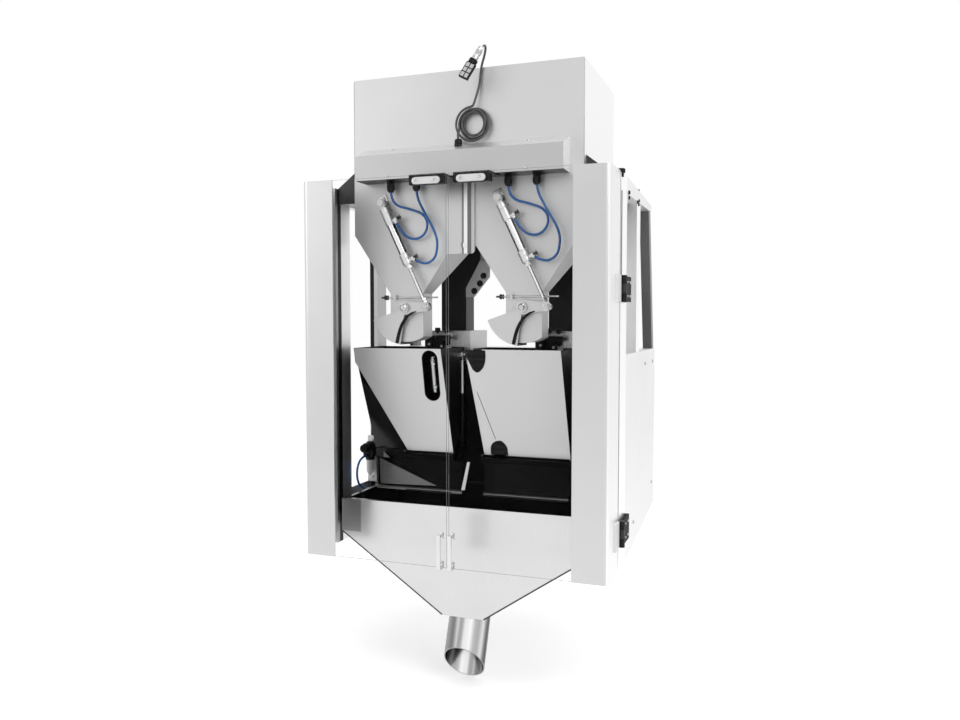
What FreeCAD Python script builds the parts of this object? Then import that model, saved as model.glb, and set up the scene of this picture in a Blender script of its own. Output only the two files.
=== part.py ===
"""Two-head linear weigher with clear front doors, in millimetres.

X runs to the right seen from the front, Y to the back and Z up. The origin is on the underside of the rear
base beam, midway between the sides. Depths are measured back from the front face of the closed doors.
"""

import FreeCAD
import Part
import math
import os
from FreeCAD import Vector

# Overall body
BODY_WIDTH = 750.0
DOOR_PLANE_Y = -600.0
PANEL = 3.0
SEAT_GAP = 0.3
RUNNING_GAP = 0.05

# Front doors
DOOR_BOTTOM = -58.0
DOOR_HEIGHT = 905.0
WING_WIDTH = 82.0
WING_DEPTH = 104.0
WING_RADIUS = 14.0
PANE_THICK = 5.0
PANE_LAP = 37.0
PANE_GAP = 5.0
HANDLE_HEIGHT = 85.0
HANDLE_WIDTH = 10.0
HANDLE_REACH = 24.0
HANDLE_INSET = 6.0
HANDLE_BAR = 5.0
STRIKE_START = 20.0
STRIKE_LENGTH = 70.0
STRIKE_HEIGHT = 16.0
STRIKE_THICK = 5.0
STRIKE_DROP = 4.0
CATCH_DEPTH = 18.0
CATCH_OVERHANG = 9.0
CATCH_TAB = 3.0
CATCH_GAP = 1.0

# Hinges
HINGE_DEPTH = 112.0
HINGE_OFFSET = 8.0
HINGE_RADIUS = 7.0
HINGE_PIN = 3.0
HINGE_HEIGHT = 60.0
HINGE_LEAF = 4.0
HINGE_LEAF_REACH = 52.0
HINGE_LEVELS = (0.0, 556.0)
HINGE_SLACK = 1.0

# Frame
FRONT_POST_DEPTH = 115.0
POST_THICK = 25.0
FRONT_POST_SPAN = 75.0
POST_WALL = 3.0
MID_POST_SPAN = 50.0
MID_POST_GAP = 35.0
TOP_RAIL_BOTTOM = 808.0
TOP_RAIL_SETBACK = 85.0
TOP_RAIL_DROP = 22.0
REAR_POST_SPAN = 30.0
REAR_POST_SETBACK = 35.0
BODY_DEPTH = 645.0
CABINET_FRONT_DEPTH = 430.0
CABINET_TOP = 435.0
SKIRT_REAR = -4.0
SKIRT_BAND_TOP = 63.0

# Base
BASE_HEIGHT = 40.0
BASE_LEG = 5.0
BEAM_SPAN = 30.0
BEAM_SETBACK = 45.0
BOLT_RADIUS = 6.5
BOLT_INSET = 25.0
FRONT_BOLT_DEPTH = 250.0
REAR_BOLT_SETBACK = 95.0

# Supply box and its supports
BOX_WIDTH = 583.0
BOX_FRONT_DEPTH = 110.0
BOX_SPAN = 335.0
BOX_BOTTOM = 862.0
BOX_TOP = 1106.0
HANGER_DEPTH = 350.0
HANGER_SPAN = 40.0
BRACKET_DEPTH = 130.0
BRACKET_SPAN = 50.0
BRACKET_RISE = 30.0

# Feed hoppers
HEAD_PITCH = 300.0
HOPPER_GAP = 17.0
HOPPER_SPAN = 160.0
HOPPER_KNEE = 725.0
HOPPER_THROAT = 580.0
SNOUT_WIDTH = 88.0
SNOUT_SPAN = 55.0
COVER_LEFT = 42.0
COVER_RIGHT = 29.0
COVER_BOTTOM = 673.0
COVER_THICK = 5.0
COVER_RADIUS = 10.0
COVER_BOLT = 6.0

# Sector gates, open
PIVOT_Z = 545.0
GATE_RADIUS = 91.0
GATE_PLATE = 2.5
GATE_CLEAR = 5.0
GATE_LOW_ANGLE = 8.2
GATE_HIGH_ANGLE = 70.8
CHEEK_GAP = 8.0
CHEEK_THICK = 3.0
HUB_RADIUS = 17.0
ARM_X = 62.0
ARM_Z = 2.0
ARM_END_RADIUS = 9.0
STUD_RADIUS = 5.0
WASHER_RADIUS = 12.0
WASHER_THICK = 3.0
WASHER_GAP = 1.0

# Gate cylinders
REAR_PIN_X = -57.0
REAR_PIN_Z = 254.0
CYL_RADIUS = 11.0
CYL_GAP = 9.0
CYL_START = 15.0
CYL_END = 166.0
NOSE_RADIUS = 8.0
NOSE_END = 177.0
ROD_RADIUS = 4.0
ROD_INNER = 112.0
ROD_CLEAR = 0.3
STROKE_ROOM = 50.0
EYE_RADIUS = 10.5
EYE_SPAN = 12.0
EYE_NECK = 6.0
LINK_PIN = 3.5
LINK_PLAY = 2.8
PIN_HEAD = 8.5
PIN_HEAD_THICK = 3.0
MOUNT_PLATE = 3.0
MOUNT_LENGTH = 46.0
MOUNT_WIDTH = 24.0
MOUNT_BOLT = 6.0
MOUNT_BOLT_EDGE = 9.0
PORT_RADIUS = 5.5
PORT_REACH = 14.0
PORT_STATIONS = (52.0, 157.0)
PORT_WAYS = ((0.54, -0.84), (0.95, -0.31))
PORT_LENGTH = 10.0
PORT_CAP = 7.0
PORT_NECK = 4.5
SIDE_PLAY = 1.5

# Air hoses: X and Z from the gate pivot, and depth; from a cylinder port up to its gland
HOSE_DIA = 6.0
UPPER_HOSE = [(-1, 92, 176), (28, 94, 162.7), (53.7, 96, 173.3), (64.3, 96, 199), (53.7, 95, 224.7),
              (14, 92, 239), (-16, 90, 246), (-32, 90, 267), (-32, 90, 291)]
LOWER_HOSE = [(55, 88.5, 103.5), (78.4, 86, 110.6), (91.5, 84, 128), (94, 82, 170), (60, 84, 225),
              (36, 89, 267), (36, 90, 291)]
HOSE_ROUTES = {"upper": (0, UPPER_HOSE), "lower": (1, LOWER_HOSE)}

# Gate stops
STOP_Z = 570.0
STOP_RADIUS = 2.0
STOP_LEFT = -54.0
STOP_RIGHT = 84.0
STOP_LUG = 12.0
STOP_LUG_X = -30.0

# Valve box and its fittings
VALVE_HALF = 258.0
VALVE_FRONT_DEPTH = 52.0
VALVE_BOTTOM = 850.0
VALVE_FACE_TOP = 909.0
VALVE_BACK_TOP = 932.0
GLAND_RADIUS = 8.0
GLAND_BORE = 4.4
GLAND_LENGTH = 26.0
GLAND_OFFSETS = (-32.0, 36.0)

# Load cells and bucket hangers
CELL_LEFT = -3.0
CELL_WIDTH = 71.0
CELL_SHOULDER = 41.0
CELL_DEPTH = 340.0
CELL_SPAN = 60.0
CELL_BOTTOM = 487.0
CELL_KNEE_LOW = 580.0
CELL_KNEE_HIGH = 672.0
CARRIER_LEFT = -9.0
CARRIER_WIDTH = 115.0
CARRIER_BOTTOM = 400.0
CARRIER_SHEET = 4.0

# Weigh buckets
BUCKET_TOP = 445.0
BUCKET_CHUTE = 185.0
BUCKET_FRONT_DEPTH = 110.0
BUCKET_LEAN = 55.0
BUCKET_REAR_DEPTH = 270.0
BUCKET_SHEET = 2.5
CHUTE_FLOOR = 10.0
CHUTE_BOTTOM = 92.0
LEFT_BUCKET_X = (-298.0, -61.0, -50.0, -175.0)
LEFT_BUCKET_CUT = 409.0
RIGHT_BUCKET_X = (2.0, 239.0, 250.0, 33.0)
WINDOW_X = -92.0
WINDOW_Z = 378.0
WINDOW_LENGTH = 126.0
WINDOW_WIDTH = 42.0
NOTCH_X = 24.0
NOTCH_Z = 412.0
NOTCH_RADIUS = 22.0
FOOT_NOTCH_X = 72.0
FOOT_NOTCH_Z = 199.0

# Discharge doors
FLAP_HINGE_Z = 172.0
FLAP_PIN = 4.0
FLAP_BARREL = 7.0
FLAP_BOTTOM = 88.0
FLAP_SHEET = 3.0
FLAP_SIDE_GAP = 1.0
FLAP_FRONT_GAP = 0.5
FLAP_LIP = 14.0
EAR_THICK = 4.0
EAR_REACH = 9.0
LEVER_BACK = 36.0
LEVER_UP = 36.0
LEVER_THICK = 5.0
LEVER_RADIUS = 8.0

# Bucket cylinders
BUCKET_CYL_OFFSET = 15.0
BUCKET_CYL_RADIUS = 7.5
BUCKET_CYL_PIVOT_Z = 428.0
BUCKET_CYL_TOP = 414.0
BUCKET_CYL_BOTTOM = 268.0
BUCKET_ROD = 3.0
BUCKET_ROD_TOP = 320.0
BUCKET_EYE = 7.5
BUCKET_EYE_SPAN = 6.0
BUCKET_LINK_PIN = 2.5
BUCKET_LINK_PLAY = 2.3
BUCKET_NOSE = 5.5
BUCKET_NOSE_LENGTH = 12.0
BUCKET_STROKE_ROOM = 32.0
PIN_CAP = 4.5
PIN_CAP_THICK = 3.0
BRACKET_ARM = 5.0

# Collecting funnel and spout
FUNNEL_SIDE_ROOM = 47.0
FUNNEL_FRONT_DEPTH = 100.0
FUNNEL_REAR_DEPTH = 420.0
FUNNEL_RIM = 63.0
FUNNEL_KNEE = -20.0
FUNNEL_OUTLET = -206.0
OUTLET_WIDTH = 108.0
OUTLET_FRONT_DEPTH = 100.0
OUTLET_SPAN = 112.0
SPOUT_RADIUS = 51.0
SPOUT_WALL = 2.5
FUNNEL_SHEET = 2.5
SPOUT_LEAN = 22.0
SPOUT_LENGTH = 122.0
MOUTH_TILT = 53.5

# Air regulator
REGULATOR_DEPTH = 262.0
REGULATOR_INSET = 35.0
REGULATOR_BOTTOM = 140.0
REGULATOR_HEIGHT = 40.0
REGULATOR_BODY = 30.0
KNOB_RADIUS = 12.0
KNOB_LENGTH = 26.0
REGULATOR_PORT = 4.5
BOWL_RADIUS = 11.0
BOWL_LENGTH = 50.0
STRIP_THICK = 4.0
STRIP_BOTTOM = 70.0
STRIP_TOP = 197.0
ARM_WIDTH = 10.0
ARM_LEVELS = (150.0, 175.0)
CABINET_GLAND = 7.0
REGULATOR_HOSE = [(228, 146), (206, 130), (199, 103), (210, 77), (234, 61), (265, 55), (305, 53), (348, 57),
                  (390, 64), (418, 66)]

# Signal cable: X, depth and Z
CABLE_DIA = 5.5
COIL_X = 29.0
COIL_MEAN_RADIUS = 33.0
COIL_SECTION = 9.5
SIGNAL_GLAND_X = -6.0
SIGNAL_GLAND_RADIUS = 7.5
SIGNAL_GLAND_TOP = 940.0
SIGNAL_LEAD = [(-9, 92, 952), (-5, 97, 963)]
SIGNAL_TAIL = [(30, 100, 1010), (37, 102, 1027), (43, 104, 1046), (46, 105.5, 1068), (48, 105.5, 1089),
               (51, 104.5, 1109), (57, 103, 1130), (63, 91.5, 1143), (66, 75, 1146), (63, 61, 1137)]
PLUG_WAY = (-0.45, -0.25, -0.86)
PLUG_RADIUS = 9.0
PLUG_STEP = 1.5
PLUG_LENGTH = 44.0
TAG_WIDTH = 24.0
TAG_LENGTH = 40.0
TAG_THICK = 8.0

HALF = BODY_WIDTH / 2
FUNNEL_HALF = HALF - FUNNEL_SIDE_ROOM
REGULATOR_X = REGULATOR_INSET - HALF
MID_POST_DEPTH = CABINET_FRONT_DEPTH - MID_POST_GAP - MID_POST_SPAN
DOOR_TOP = DOOR_BOTTOM + DOOR_HEIGHT
BOX_HALF = BOX_WIDTH / 2
SIDES = {"left": -1, "right": 1}


def back(depth):
    """Y of a depth behind the closed doors."""
    return DOOR_PLANE_Y + depth


def block(x, y, z):
    """Box between pairs of X, Y and Z."""
    low = Vector(min(x), min(y), min(z))
    return Part.makeBox(max(x) - low.x, max(y) - low.y, max(z) - low.z, low)


def face_xz(points, y_from, y_to):
    """Plate with an outline in X and Z, between two Y."""
    wire = Part.makePolygon([Vector(x, y_from, z) for x, z in points + points[:1]])
    return Part.Face(wire).extrude(Vector(0, y_to - y_from, 0))


def face_yz(points, x_from, x_to):
    """Plate with an outline in Y and Z, between two X."""
    wire = Part.makePolygon([Vector(x_from, y, z) for y, z in points + points[:1]])
    return Part.Face(wire).extrude(Vector(x_to - x_from, 0, 0))


def rod(radius, start, end):
    """Round bar between two points."""
    run = end - start
    return Part.makeCylinder(radius, run.Length, start, run)


def rod_y(radius, x, z, y_from, y_to):
    """Round bar along Y."""
    return rod(radius, Vector(x, y_from, z), Vector(x, y_to, z))


def rod_x(radius, y, z, x_from, x_to):
    """Round bar along X."""
    return rod(radius, Vector(x_from, y, z), Vector(x_to, y, z))


def rod_z(radius, x, y, z_from, z_to):
    """Round bar along Z."""
    return rod(radius, Vector(x, y, z_from), Vector(x, y, z_to))


def fused(shapes):
    """One solid from touching or overlapping shapes."""
    body = shapes[0]
    for shape in shapes[1:]:
        body = body.fuse(shape)
    return body.removeSplitter()


def group(shapes):
    """Separate solids that share a node."""
    return Part.makeCompound(shapes)


def tube_path(points):
    """Wire of straight runs joined by tangent arcs, with the arcs' radii."""
    edges = []
    radii = []
    start = points[0]
    for before, corner, after in zip(points, points[1:], points[2:]):
        inward = corner - before
        outward = after - corner
        half_turn = inward.getAngle(outward) / 2
        setback = 0.45 * min(inward.Length, outward.Length)
        radii.append(setback / math.tan(half_turn))
        enter = corner - inward.normalize() * setback
        leave = corner + outward.normalize() * setback
        bisector = (enter + leave) * 0.5 - corner
        sagitta = setback / math.sin(half_turn) - radii[-1]
        middle = corner + bisector.normalize() * sagitta
        edges.append(Part.LineSegment(start, enter).toShape())
        edges.append(Part.Arc(enter, middle, leave).toShape())
        start = leave
    edges.append(Part.LineSegment(start, points[-1]).toShape())
    return Part.Wire(edges), radii


def hose(name, points, diameter):
    """Round hose along a route, with its length and tightest bend printed."""
    wire, radii = tube_path(points)
    ring = Part.Wire(Part.makeCircle(diameter / 2, points[0], points[1] - points[0]))
    tube = wire.makePipeShell([ring], True, False)
    expected = math.pi * diameter ** 2 / 4 * wire.Length
    print(name, "length", round(wire.Length, 1), "least radius", round(min(radii), 1),
          "volume ratio", round(tube.Volume / expected, 4))
    return tube


# Frame and panels

def front_post(side):
    """Hollow upright behind the door's hinge edge."""
    outer = block((side * HALF, side * (HALF - POST_THICK)),
                  (back(FRONT_POST_DEPTH), back(FRONT_POST_DEPTH + FRONT_POST_SPAN)),
                  (DOOR_BOTTOM, DOOR_TOP))
    inner = block((side * (HALF - POST_WALL), side * (HALF - POST_THICK + POST_WALL)),
                  (back(FRONT_POST_DEPTH + POST_WALL), back(FRONT_POST_DEPTH + FRONT_POST_SPAN - POST_WALL)),
                  (DOOR_BOTTOM - POST_WALL, DOOR_TOP - POST_WALL))
    return outer.cut(inner)


def top_rail(side):
    """Side rail from the front post to the rear post, with a falling top edge."""
    front = back(FRONT_POST_DEPTH + FRONT_POST_SPAN)
    rear = back(BODY_DEPTH - TOP_RAIL_SETBACK)
    outline = [(front, TOP_RAIL_BOTTOM), (rear, TOP_RAIL_BOTTOM), (rear, DOOR_TOP - TOP_RAIL_DROP),
               (front, DOOR_TOP)]
    return face_yz(outline, side * (HALF - POST_THICK), side * HALF)


def post_x(side):
    """Outer and inner X of the posts that stand inside the side panels."""
    return side * (HALF - PANEL), side * (HALF - PANEL - POST_THICK)


def mid_post(side):
    """Upright from the base rail to the top rail."""
    return block(post_x(side), (back(MID_POST_DEPTH), back(MID_POST_DEPTH + MID_POST_SPAN)),
                 (BASE_HEIGHT, TOP_RAIL_BOTTOM))


def rear_post(side):
    """Raked upright from the cabinet to the end of the top rail."""
    head = back(BODY_DEPTH - TOP_RAIL_SETBACK)
    foot = back(BODY_DEPTH - REAR_POST_SETBACK)
    outline = [(foot, CABINET_TOP), (foot + REAR_POST_SPAN, CABINET_TOP), (head, TOP_RAIL_BOTTOM),
               (head - REAR_POST_SPAN, TOP_RAIL_BOTTOM)]
    return face_yz(outline, *post_x(side))


def side_panel(side):
    """Outer sheet below the window: whole on the right, with the service opening on the left."""
    front = back(FRONT_POST_DEPTH + FRONT_POST_SPAN)
    rear = back(BODY_DEPTH)
    outline = [(front, DOOR_BOTTOM), (rear, SKIRT_REAR), (rear, CABINET_TOP)]
    if side > 0:
        outline += [(front, CABINET_TOP)]
    else:
        outline += [(back(MID_POST_DEPTH), CABINET_TOP), (back(MID_POST_DEPTH), SKIRT_BAND_TOP),
                    (front, SKIRT_BAND_TOP)]
    return face_yz(outline, side * (HALF - PANEL), side * HALF)


def rear_cabinet():
    """Closed electrical cabinet across the back."""
    reach = HALF - PANEL
    return block((-reach, reach), (back(CABINET_FRONT_DEPTH), back(BODY_DEPTH)), (BASE_HEIGHT, CABINET_TOP))


def base_frame():
    """Two angle rails with bolt holes, joined by the rear beam that carries the origin."""
    outer = HALF - PANEL
    inner = FUNNEL_HALF
    front = back(FRONT_POST_DEPTH + FRONT_POST_SPAN)
    rear = back(BODY_DEPTH)
    pieces = []
    for side in SIDES.values():
        pieces.append(block((side * outer, side * inner), (front, rear), (0, BASE_LEG)))
        pieces.append(block((side * outer, side * (outer - BASE_LEG)), (front, rear), (0, BASE_HEIGHT)))
    beam_front = rear - BEAM_SETBACK - BEAM_SPAN / 2
    beam = block((-outer, outer), (beam_front, beam_front + BEAM_SPAN), (0, BASE_HEIGHT))
    frame = fused(pieces + [beam])
    for side in SIDES.values():
        for y in (back(FRONT_BOLT_DEPTH), rear - REAR_BOLT_SETBACK):
            hole = rod_z(BOLT_RADIUS, side * (HALF - BOLT_INSET), y, -BASE_LEG, 2 * BASE_LEG)
            frame = frame.cut(hole)
    return frame


# Supply box, hoppers and valve box

def supply_box():
    """Open-topped box over both heads, with an outlet above each hopper."""
    front = back(BOX_FRONT_DEPTH)
    outer = block((-BOX_HALF, BOX_HALF), (front, front + BOX_SPAN), (BOX_BOTTOM, BOX_TOP))
    inner = block((-BOX_HALF + PANEL, BOX_HALF - PANEL), (front + PANEL, front + BOX_SPAN - PANEL),
                  (BOX_BOTTOM + PANEL, BOX_TOP + PANEL))
    shell = outer.cut(inner)
    for side in SIDES.values():
        shell = shell.cut(block((side * (HOPPER_GAP / 2 + PANEL), side * (BOX_HALF - PANEL)),
                                (front + PANEL, front + HOPPER_SPAN - PANEL),
                                (BOX_BOTTOM - PANEL, BOX_BOTTOM + 2 * PANEL)))
    return shell


def hanger_beam():
    """Cross beam between the top rails, under the supply box."""
    reach = HALF - POST_THICK
    return block((-reach, reach), (back(HANGER_DEPTH), back(HANGER_DEPTH + HANGER_SPAN)),
                 (BOX_BOTTOM - HANGER_SPAN, BOX_BOTTOM))


def hanger_bracket(side):
    """Front support between a front post and the side of the supply box."""
    outline = [(side * BOX_HALF, TOP_RAIL_BOTTOM), (side * (HALF - POST_THICK), TOP_RAIL_BOTTOM),
               (side * (HALF - POST_THICK), DOOR_TOP), (side * BOX_HALF, BOX_BOTTOM + BRACKET_RISE)]
    return face_xz(outline, back(BRACKET_DEPTH), back(BRACKET_DEPTH + BRACKET_SPAN))


def hopper_form(centre, side, inset):
    """Body of a feed hopper above its snout, drawn in by a wall thickness."""
    throat = SNOUT_WIDTH / 2 - inset
    inner_edge = side * (HOPPER_GAP / 2 + inset)
    outer_edge = side * (BOX_HALF - inset)
    left, right = min(inner_edge, outer_edge), max(inner_edge, outer_edge)
    front_view = [(left, BOX_BOTTOM + inset), (left, HOPPER_KNEE), (centre - throat, HOPPER_THROAT),
                  (centre - throat, HOPPER_THROAT - inset), (centre + throat, HOPPER_THROAT - inset),
                  (centre + throat, HOPPER_THROAT), (right, HOPPER_KNEE), (right, BOX_BOTTOM + inset)]
    side_view = [(back(BOX_FRONT_DEPTH + inset), HOPPER_THROAT - inset),
                 (back(BOX_FRONT_DEPTH + SNOUT_SPAN - inset), HOPPER_THROAT - inset),
                 (back(BOX_FRONT_DEPTH + SNOUT_SPAN - inset), HOPPER_THROAT),
                 (back(BOX_FRONT_DEPTH + HOPPER_SPAN - inset), HOPPER_KNEE),
                 (back(BOX_FRONT_DEPTH + HOPPER_SPAN - inset), BOX_BOTTOM + inset),
                 (back(BOX_FRONT_DEPTH + inset), BOX_BOTTOM + inset)]
    wide = face_xz(without_repeats(front_view), back(BOX_FRONT_DEPTH), back(BOX_FRONT_DEPTH + HOPPER_SPAN))
    return wide.common(face_yz(without_repeats(side_view), left, right))


def without_repeats(points):
    """Outline with equal neighbours dropped."""
    kept = [points[0]]
    for point in points[1:]:
        if point != kept[-1]:
            kept.append(point)
    return kept


def feed_hopper(side):
    """Tapered sheet hopper with a snout whose mouth follows the gate's sweep."""
    centre = side * HEAD_PITCH / 2
    half = SNOUT_WIDTH / 2
    snout_z = (PIVOT_Z - GATE_RADIUS, HOPPER_THROAT)
    snout = block((centre - half, centre + half), (back(BOX_FRONT_DEPTH), back(BOX_FRONT_DEPTH + SNOUT_SPAN)),
                  snout_z)
    mouth_radius = GATE_RADIUS - GATE_PLATE - GATE_CLEAR
    sweep = rod_y(mouth_radius, centre, PIVOT_Z, back(0), back(BODY_DEPTH))
    upper = block((centre - half, centre + half), (back(0), back(BODY_DEPTH)), (PIVOT_Z, HOPPER_THROAT))
    snout = snout.common(sweep.fuse(upper))
    outer = hopper_form(centre, side, 0.0).fuse(snout)
    passage = block((centre - half + BUCKET_SHEET, centre + half - BUCKET_SHEET),
                    (back(BOX_FRONT_DEPTH + BUCKET_SHEET), back(BOX_FRONT_DEPTH + SNOUT_SPAN - BUCKET_SHEET)),
                    (snout_z[0] - PANEL, HOPPER_THROAT + PANEL))
    return outer.cut(hopper_form(centre, side, BUCKET_SHEET)).cut(passage).removeSplitter()


def cover_strip():
    """Plate over the joint between the hoppers, with a rounded corner and a bolt."""
    front = back(BOX_FRONT_DEPTH - COVER_THICK)
    plate = block((-COVER_LEFT, COVER_RIGHT), (front, back(BOX_FRONT_DEPTH)), (COVER_BOTTOM, VALVE_BOTTOM))
    corner = [edge for edge in plate.Edges
              if abs(edge.CenterOfMass.x - COVER_RIGHT) < SEAT_GAP
              and abs(edge.CenterOfMass.z - COVER_BOTTOM) < SEAT_GAP]
    plate = plate.makeFillet(COVER_RADIUS, corner)
    bolt = rod_y(COVER_BOLT, 0, COVER_BOTTOM + 2 * COVER_RADIUS, front - COVER_THICK, front)
    return plate.fuse(bolt)


def valve_box():
    """Closed channel across the front, with a sloping top."""
    rear = back(BOX_FRONT_DEPTH)
    outline = [(back(VALVE_FRONT_DEPTH), VALVE_BOTTOM), (rear, VALVE_BOTTOM), (rear, VALVE_BACK_TOP),
               (back(VALVE_FRONT_DEPTH), VALVE_FACE_TOP)]
    return face_yz(outline, -VALVE_HALF, VALVE_HALF)


def gland_x():
    """X of the four hose glands under the valve box."""
    return [side * HEAD_PITCH / 2 + offset for side in (-1, 1) for offset in GLAND_OFFSETS]


def hose_gland(x):
    """Black gland under the valve box, bored for its hose."""
    body = rod_z(GLAND_RADIUS, x, link_plane(), VALVE_BOTTOM - GLAND_LENGTH, VALVE_BOTTOM)
    bore = rod_z(GLAND_BORE, x, link_plane(), VALVE_BOTTOM - 2 * GLAND_LENGTH, VALVE_BOTTOM - PANEL)
    return body.cut(bore)


def door_catch(side):
    """Magnetic catch that hangs under the valve box behind a door's strike plate."""
    start = STRIKE_START - CATCH_OVERHANG
    end = STRIKE_START + STRIKE_LENGTH + CATCH_OVERHANG
    front = back(PANEL + PANE_THICK + STRIKE_THICK + CATCH_GAP)
    strike_top = DOOR_TOP - STRIKE_DROP
    body = block((side * start, side * end), (front, front + CATCH_DEPTH),
                 (strike_top - STRIKE_HEIGHT, VALVE_BOTTOM))
    tab = block((side * start, side * end), (front, back(VALVE_FRONT_DEPTH) + 2 * CATCH_DEPTH),
                (VALVE_BOTTOM - CATCH_TAB, VALVE_BOTTOM))
    return body.fuse(tab).removeSplitter()


# Sector gates and their cylinders, drawn for a head at its pivot

def gate_point(radius, degrees):
    """Point below the pivot, turned towards the left."""
    angle = math.radians(degrees)
    return -radius * math.sin(angle), -radius * math.cos(angle)


def sector_profile(inner, outer, y_from, y_to):
    """Arc of sheet or a solid sector between the gate's two angles, about the origin."""
    lo, hi = GATE_LOW_ANGLE, GATE_HIGH_ANGLE
    def corner(radius, degrees):
        x, z = gate_point(radius, degrees)
        return Vector(x, y_from, z)
    edges = [Part.Arc(corner(outer, lo), corner(outer, (lo + hi) / 2), corner(outer, hi)).toShape()]
    if inner:
        edges += [Part.LineSegment(corner(outer, hi), corner(inner, hi)).toShape(),
                  Part.Arc(corner(inner, hi), corner(inner, (lo + hi) / 2), corner(inner, lo)).toShape(),
                  Part.LineSegment(corner(inner, lo), corner(outer, lo)).toShape()]
    else:
        centre = Vector(0, y_from, 0)
        edges += [Part.LineSegment(corner(outer, hi), centre).toShape(),
                  Part.LineSegment(centre, corner(outer, lo)).toShape()]
    return Part.Face(Part.Wire(edges)).extrude(Vector(0, y_to - y_from, 0))


def gate_cheek(y_from, y_to, has_arm):
    """Side plate of the gate, with the drive arm on the front one."""
    shapes = [sector_profile(0.0, GATE_RADIUS, y_from, y_to), rod_y(HUB_RADIUS, 0, 0, y_from, y_to)]
    if has_arm:
        run = math.hypot(ARM_X, ARM_Z)
        normal = (-ARM_Z / run, ARM_X / run)
        outline = [(normal[0] * HUB_RADIUS, normal[1] * HUB_RADIUS),
                   (-normal[0] * HUB_RADIUS, -normal[1] * HUB_RADIUS),
                   (ARM_X - normal[0] * ARM_END_RADIUS, ARM_Z - normal[1] * ARM_END_RADIUS),
                   (ARM_X + normal[0] * ARM_END_RADIUS, ARM_Z + normal[1] * ARM_END_RADIUS)]
        shapes += [face_xz(outline, y_from, y_to), rod_y(ARM_END_RADIUS, ARM_X, ARM_Z, y_from, y_to)]
    return fused(shapes)


def cheek_planes():
    """Y of the front and rear cheeks' outer and inner faces."""
    front_inner = back(BOX_FRONT_DEPTH - CHEEK_GAP)
    rear_inner = back(BOX_FRONT_DEPTH + SNOUT_SPAN + CHEEK_GAP)
    return front_inner - CHEEK_THICK, front_inner, rear_inner, rear_inner + CHEEK_THICK


def sector_gate():
    """Swinging gate: two cheeks, the curved closing plate, the drive arm and its pin."""
    front, front_inner, rear_inner, rear = cheek_planes()
    plate = sector_profile(GATE_RADIUS - GATE_PLATE, GATE_RADIUS, front, rear)
    eye_front = link_plane() - EYE_SPAN / 2
    pin = rod_y(LINK_PIN, ARM_X, ARM_Z, eye_front - SIDE_PLAY, front_inner)
    head = rod_y(PIN_HEAD, ARM_X, ARM_Z, eye_front - SIDE_PLAY - PIN_HEAD_THICK, eye_front - SIDE_PLAY)
    cheeks = [gate_cheek(front, front_inner, True), gate_cheek(rear_inner, rear, False)]
    gate = fused(cheeks + [plate, pin, head])
    return gate.cut(rod_y(STUD_RADIUS + RUNNING_GAP, 0, 0, front - PANEL, rear + PANEL))


def pivot_studs():
    """Shoulder studs on the snout's front and rear, with washers outside the cheeks."""
    front, front_inner, rear_inner, rear = cheek_planes()
    snout_front = back(BOX_FRONT_DEPTH)
    snout_rear = back(BOX_FRONT_DEPTH + SNOUT_SPAN)
    front_seat = front - WASHER_GAP
    rear_seat = rear + WASHER_GAP
    front_stud = rod_y(STUD_RADIUS, 0, 0, front_seat, snout_front).fuse(
        rod_y(WASHER_RADIUS, 0, 0, front_seat - WASHER_THICK, front_seat))
    rear_stud = rod_y(STUD_RADIUS, 0, 0, snout_rear, rear_seat).fuse(
        rod_y(WASHER_RADIUS, 0, 0, rear_seat, rear_seat + WASHER_THICK))
    return group([front_stud, rear_stud])


def link_plane():
    """Y of the gate cylinder's axis."""
    return back(BOX_FRONT_DEPTH) - CYL_GAP - CYL_RADIUS


def cylinder_axis():
    """Rear pin, unit direction to the rod's eye, and the distance between them."""
    rear = Vector(REAR_PIN_X, link_plane(), REAR_PIN_Z)
    run = Vector(ARM_X, link_plane(), ARM_Z) - rear
    length = run.Length
    return rear, run.normalize(), length


def eye(centre, radius, hole):
    """Flat eye about Y."""
    half = EYE_SPAN / 2
    body = rod_y(radius, centre.x, centre.z, centre.y - half, centre.y + half)
    return body, rod_y(hole, centre.x, centre.z, centre.y - EYE_SPAN, centre.y + EYE_SPAN)


def port_points(station, way):
    """Elbow centre and hose end of a port."""
    rear, along, _ = cylinder_axis()
    outward = Vector(-along.z, 0, along.x)
    elbow = rear + along * station + outward * PORT_REACH
    return elbow, elbow + Vector(way[0], 0, way[1]) * PORT_LENGTH


def gate_cylinder():
    """Barrel with rear eye, nose, two elbow ports, and a bore for the rod."""
    rear, along, _ = cylinder_axis()
    eye_body, eye_hole = eye(rear, EYE_RADIUS, LINK_PIN + RUNNING_GAP)
    outward = Vector(-along.z, 0, along.x)
    shapes = [eye_body, rod(EYE_NECK, rear + along * LINK_PIN, rear + along * CYL_START),
              rod(CYL_RADIUS, rear + along * CYL_START, rear + along * CYL_END),
              rod(NOSE_RADIUS, rear + along * CYL_END, rear + along * NOSE_END)]
    for station, way in zip(PORT_STATIONS, PORT_WAYS):
        elbow, end = port_points(station, way)
        shapes.append(rod(PORT_RADIUS, rear + along * station, elbow + outward * PORT_CAP))
        shapes.append(rod(PORT_NECK, elbow, end))
    body = fused(shapes).cut(eye_hole)
    bore_start = ROD_INNER - STROKE_ROOM
    return body.cut(rod(ROD_RADIUS + ROD_CLEAR, rear + along * bore_start, rear + along * (NOSE_END + PANEL)))


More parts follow.
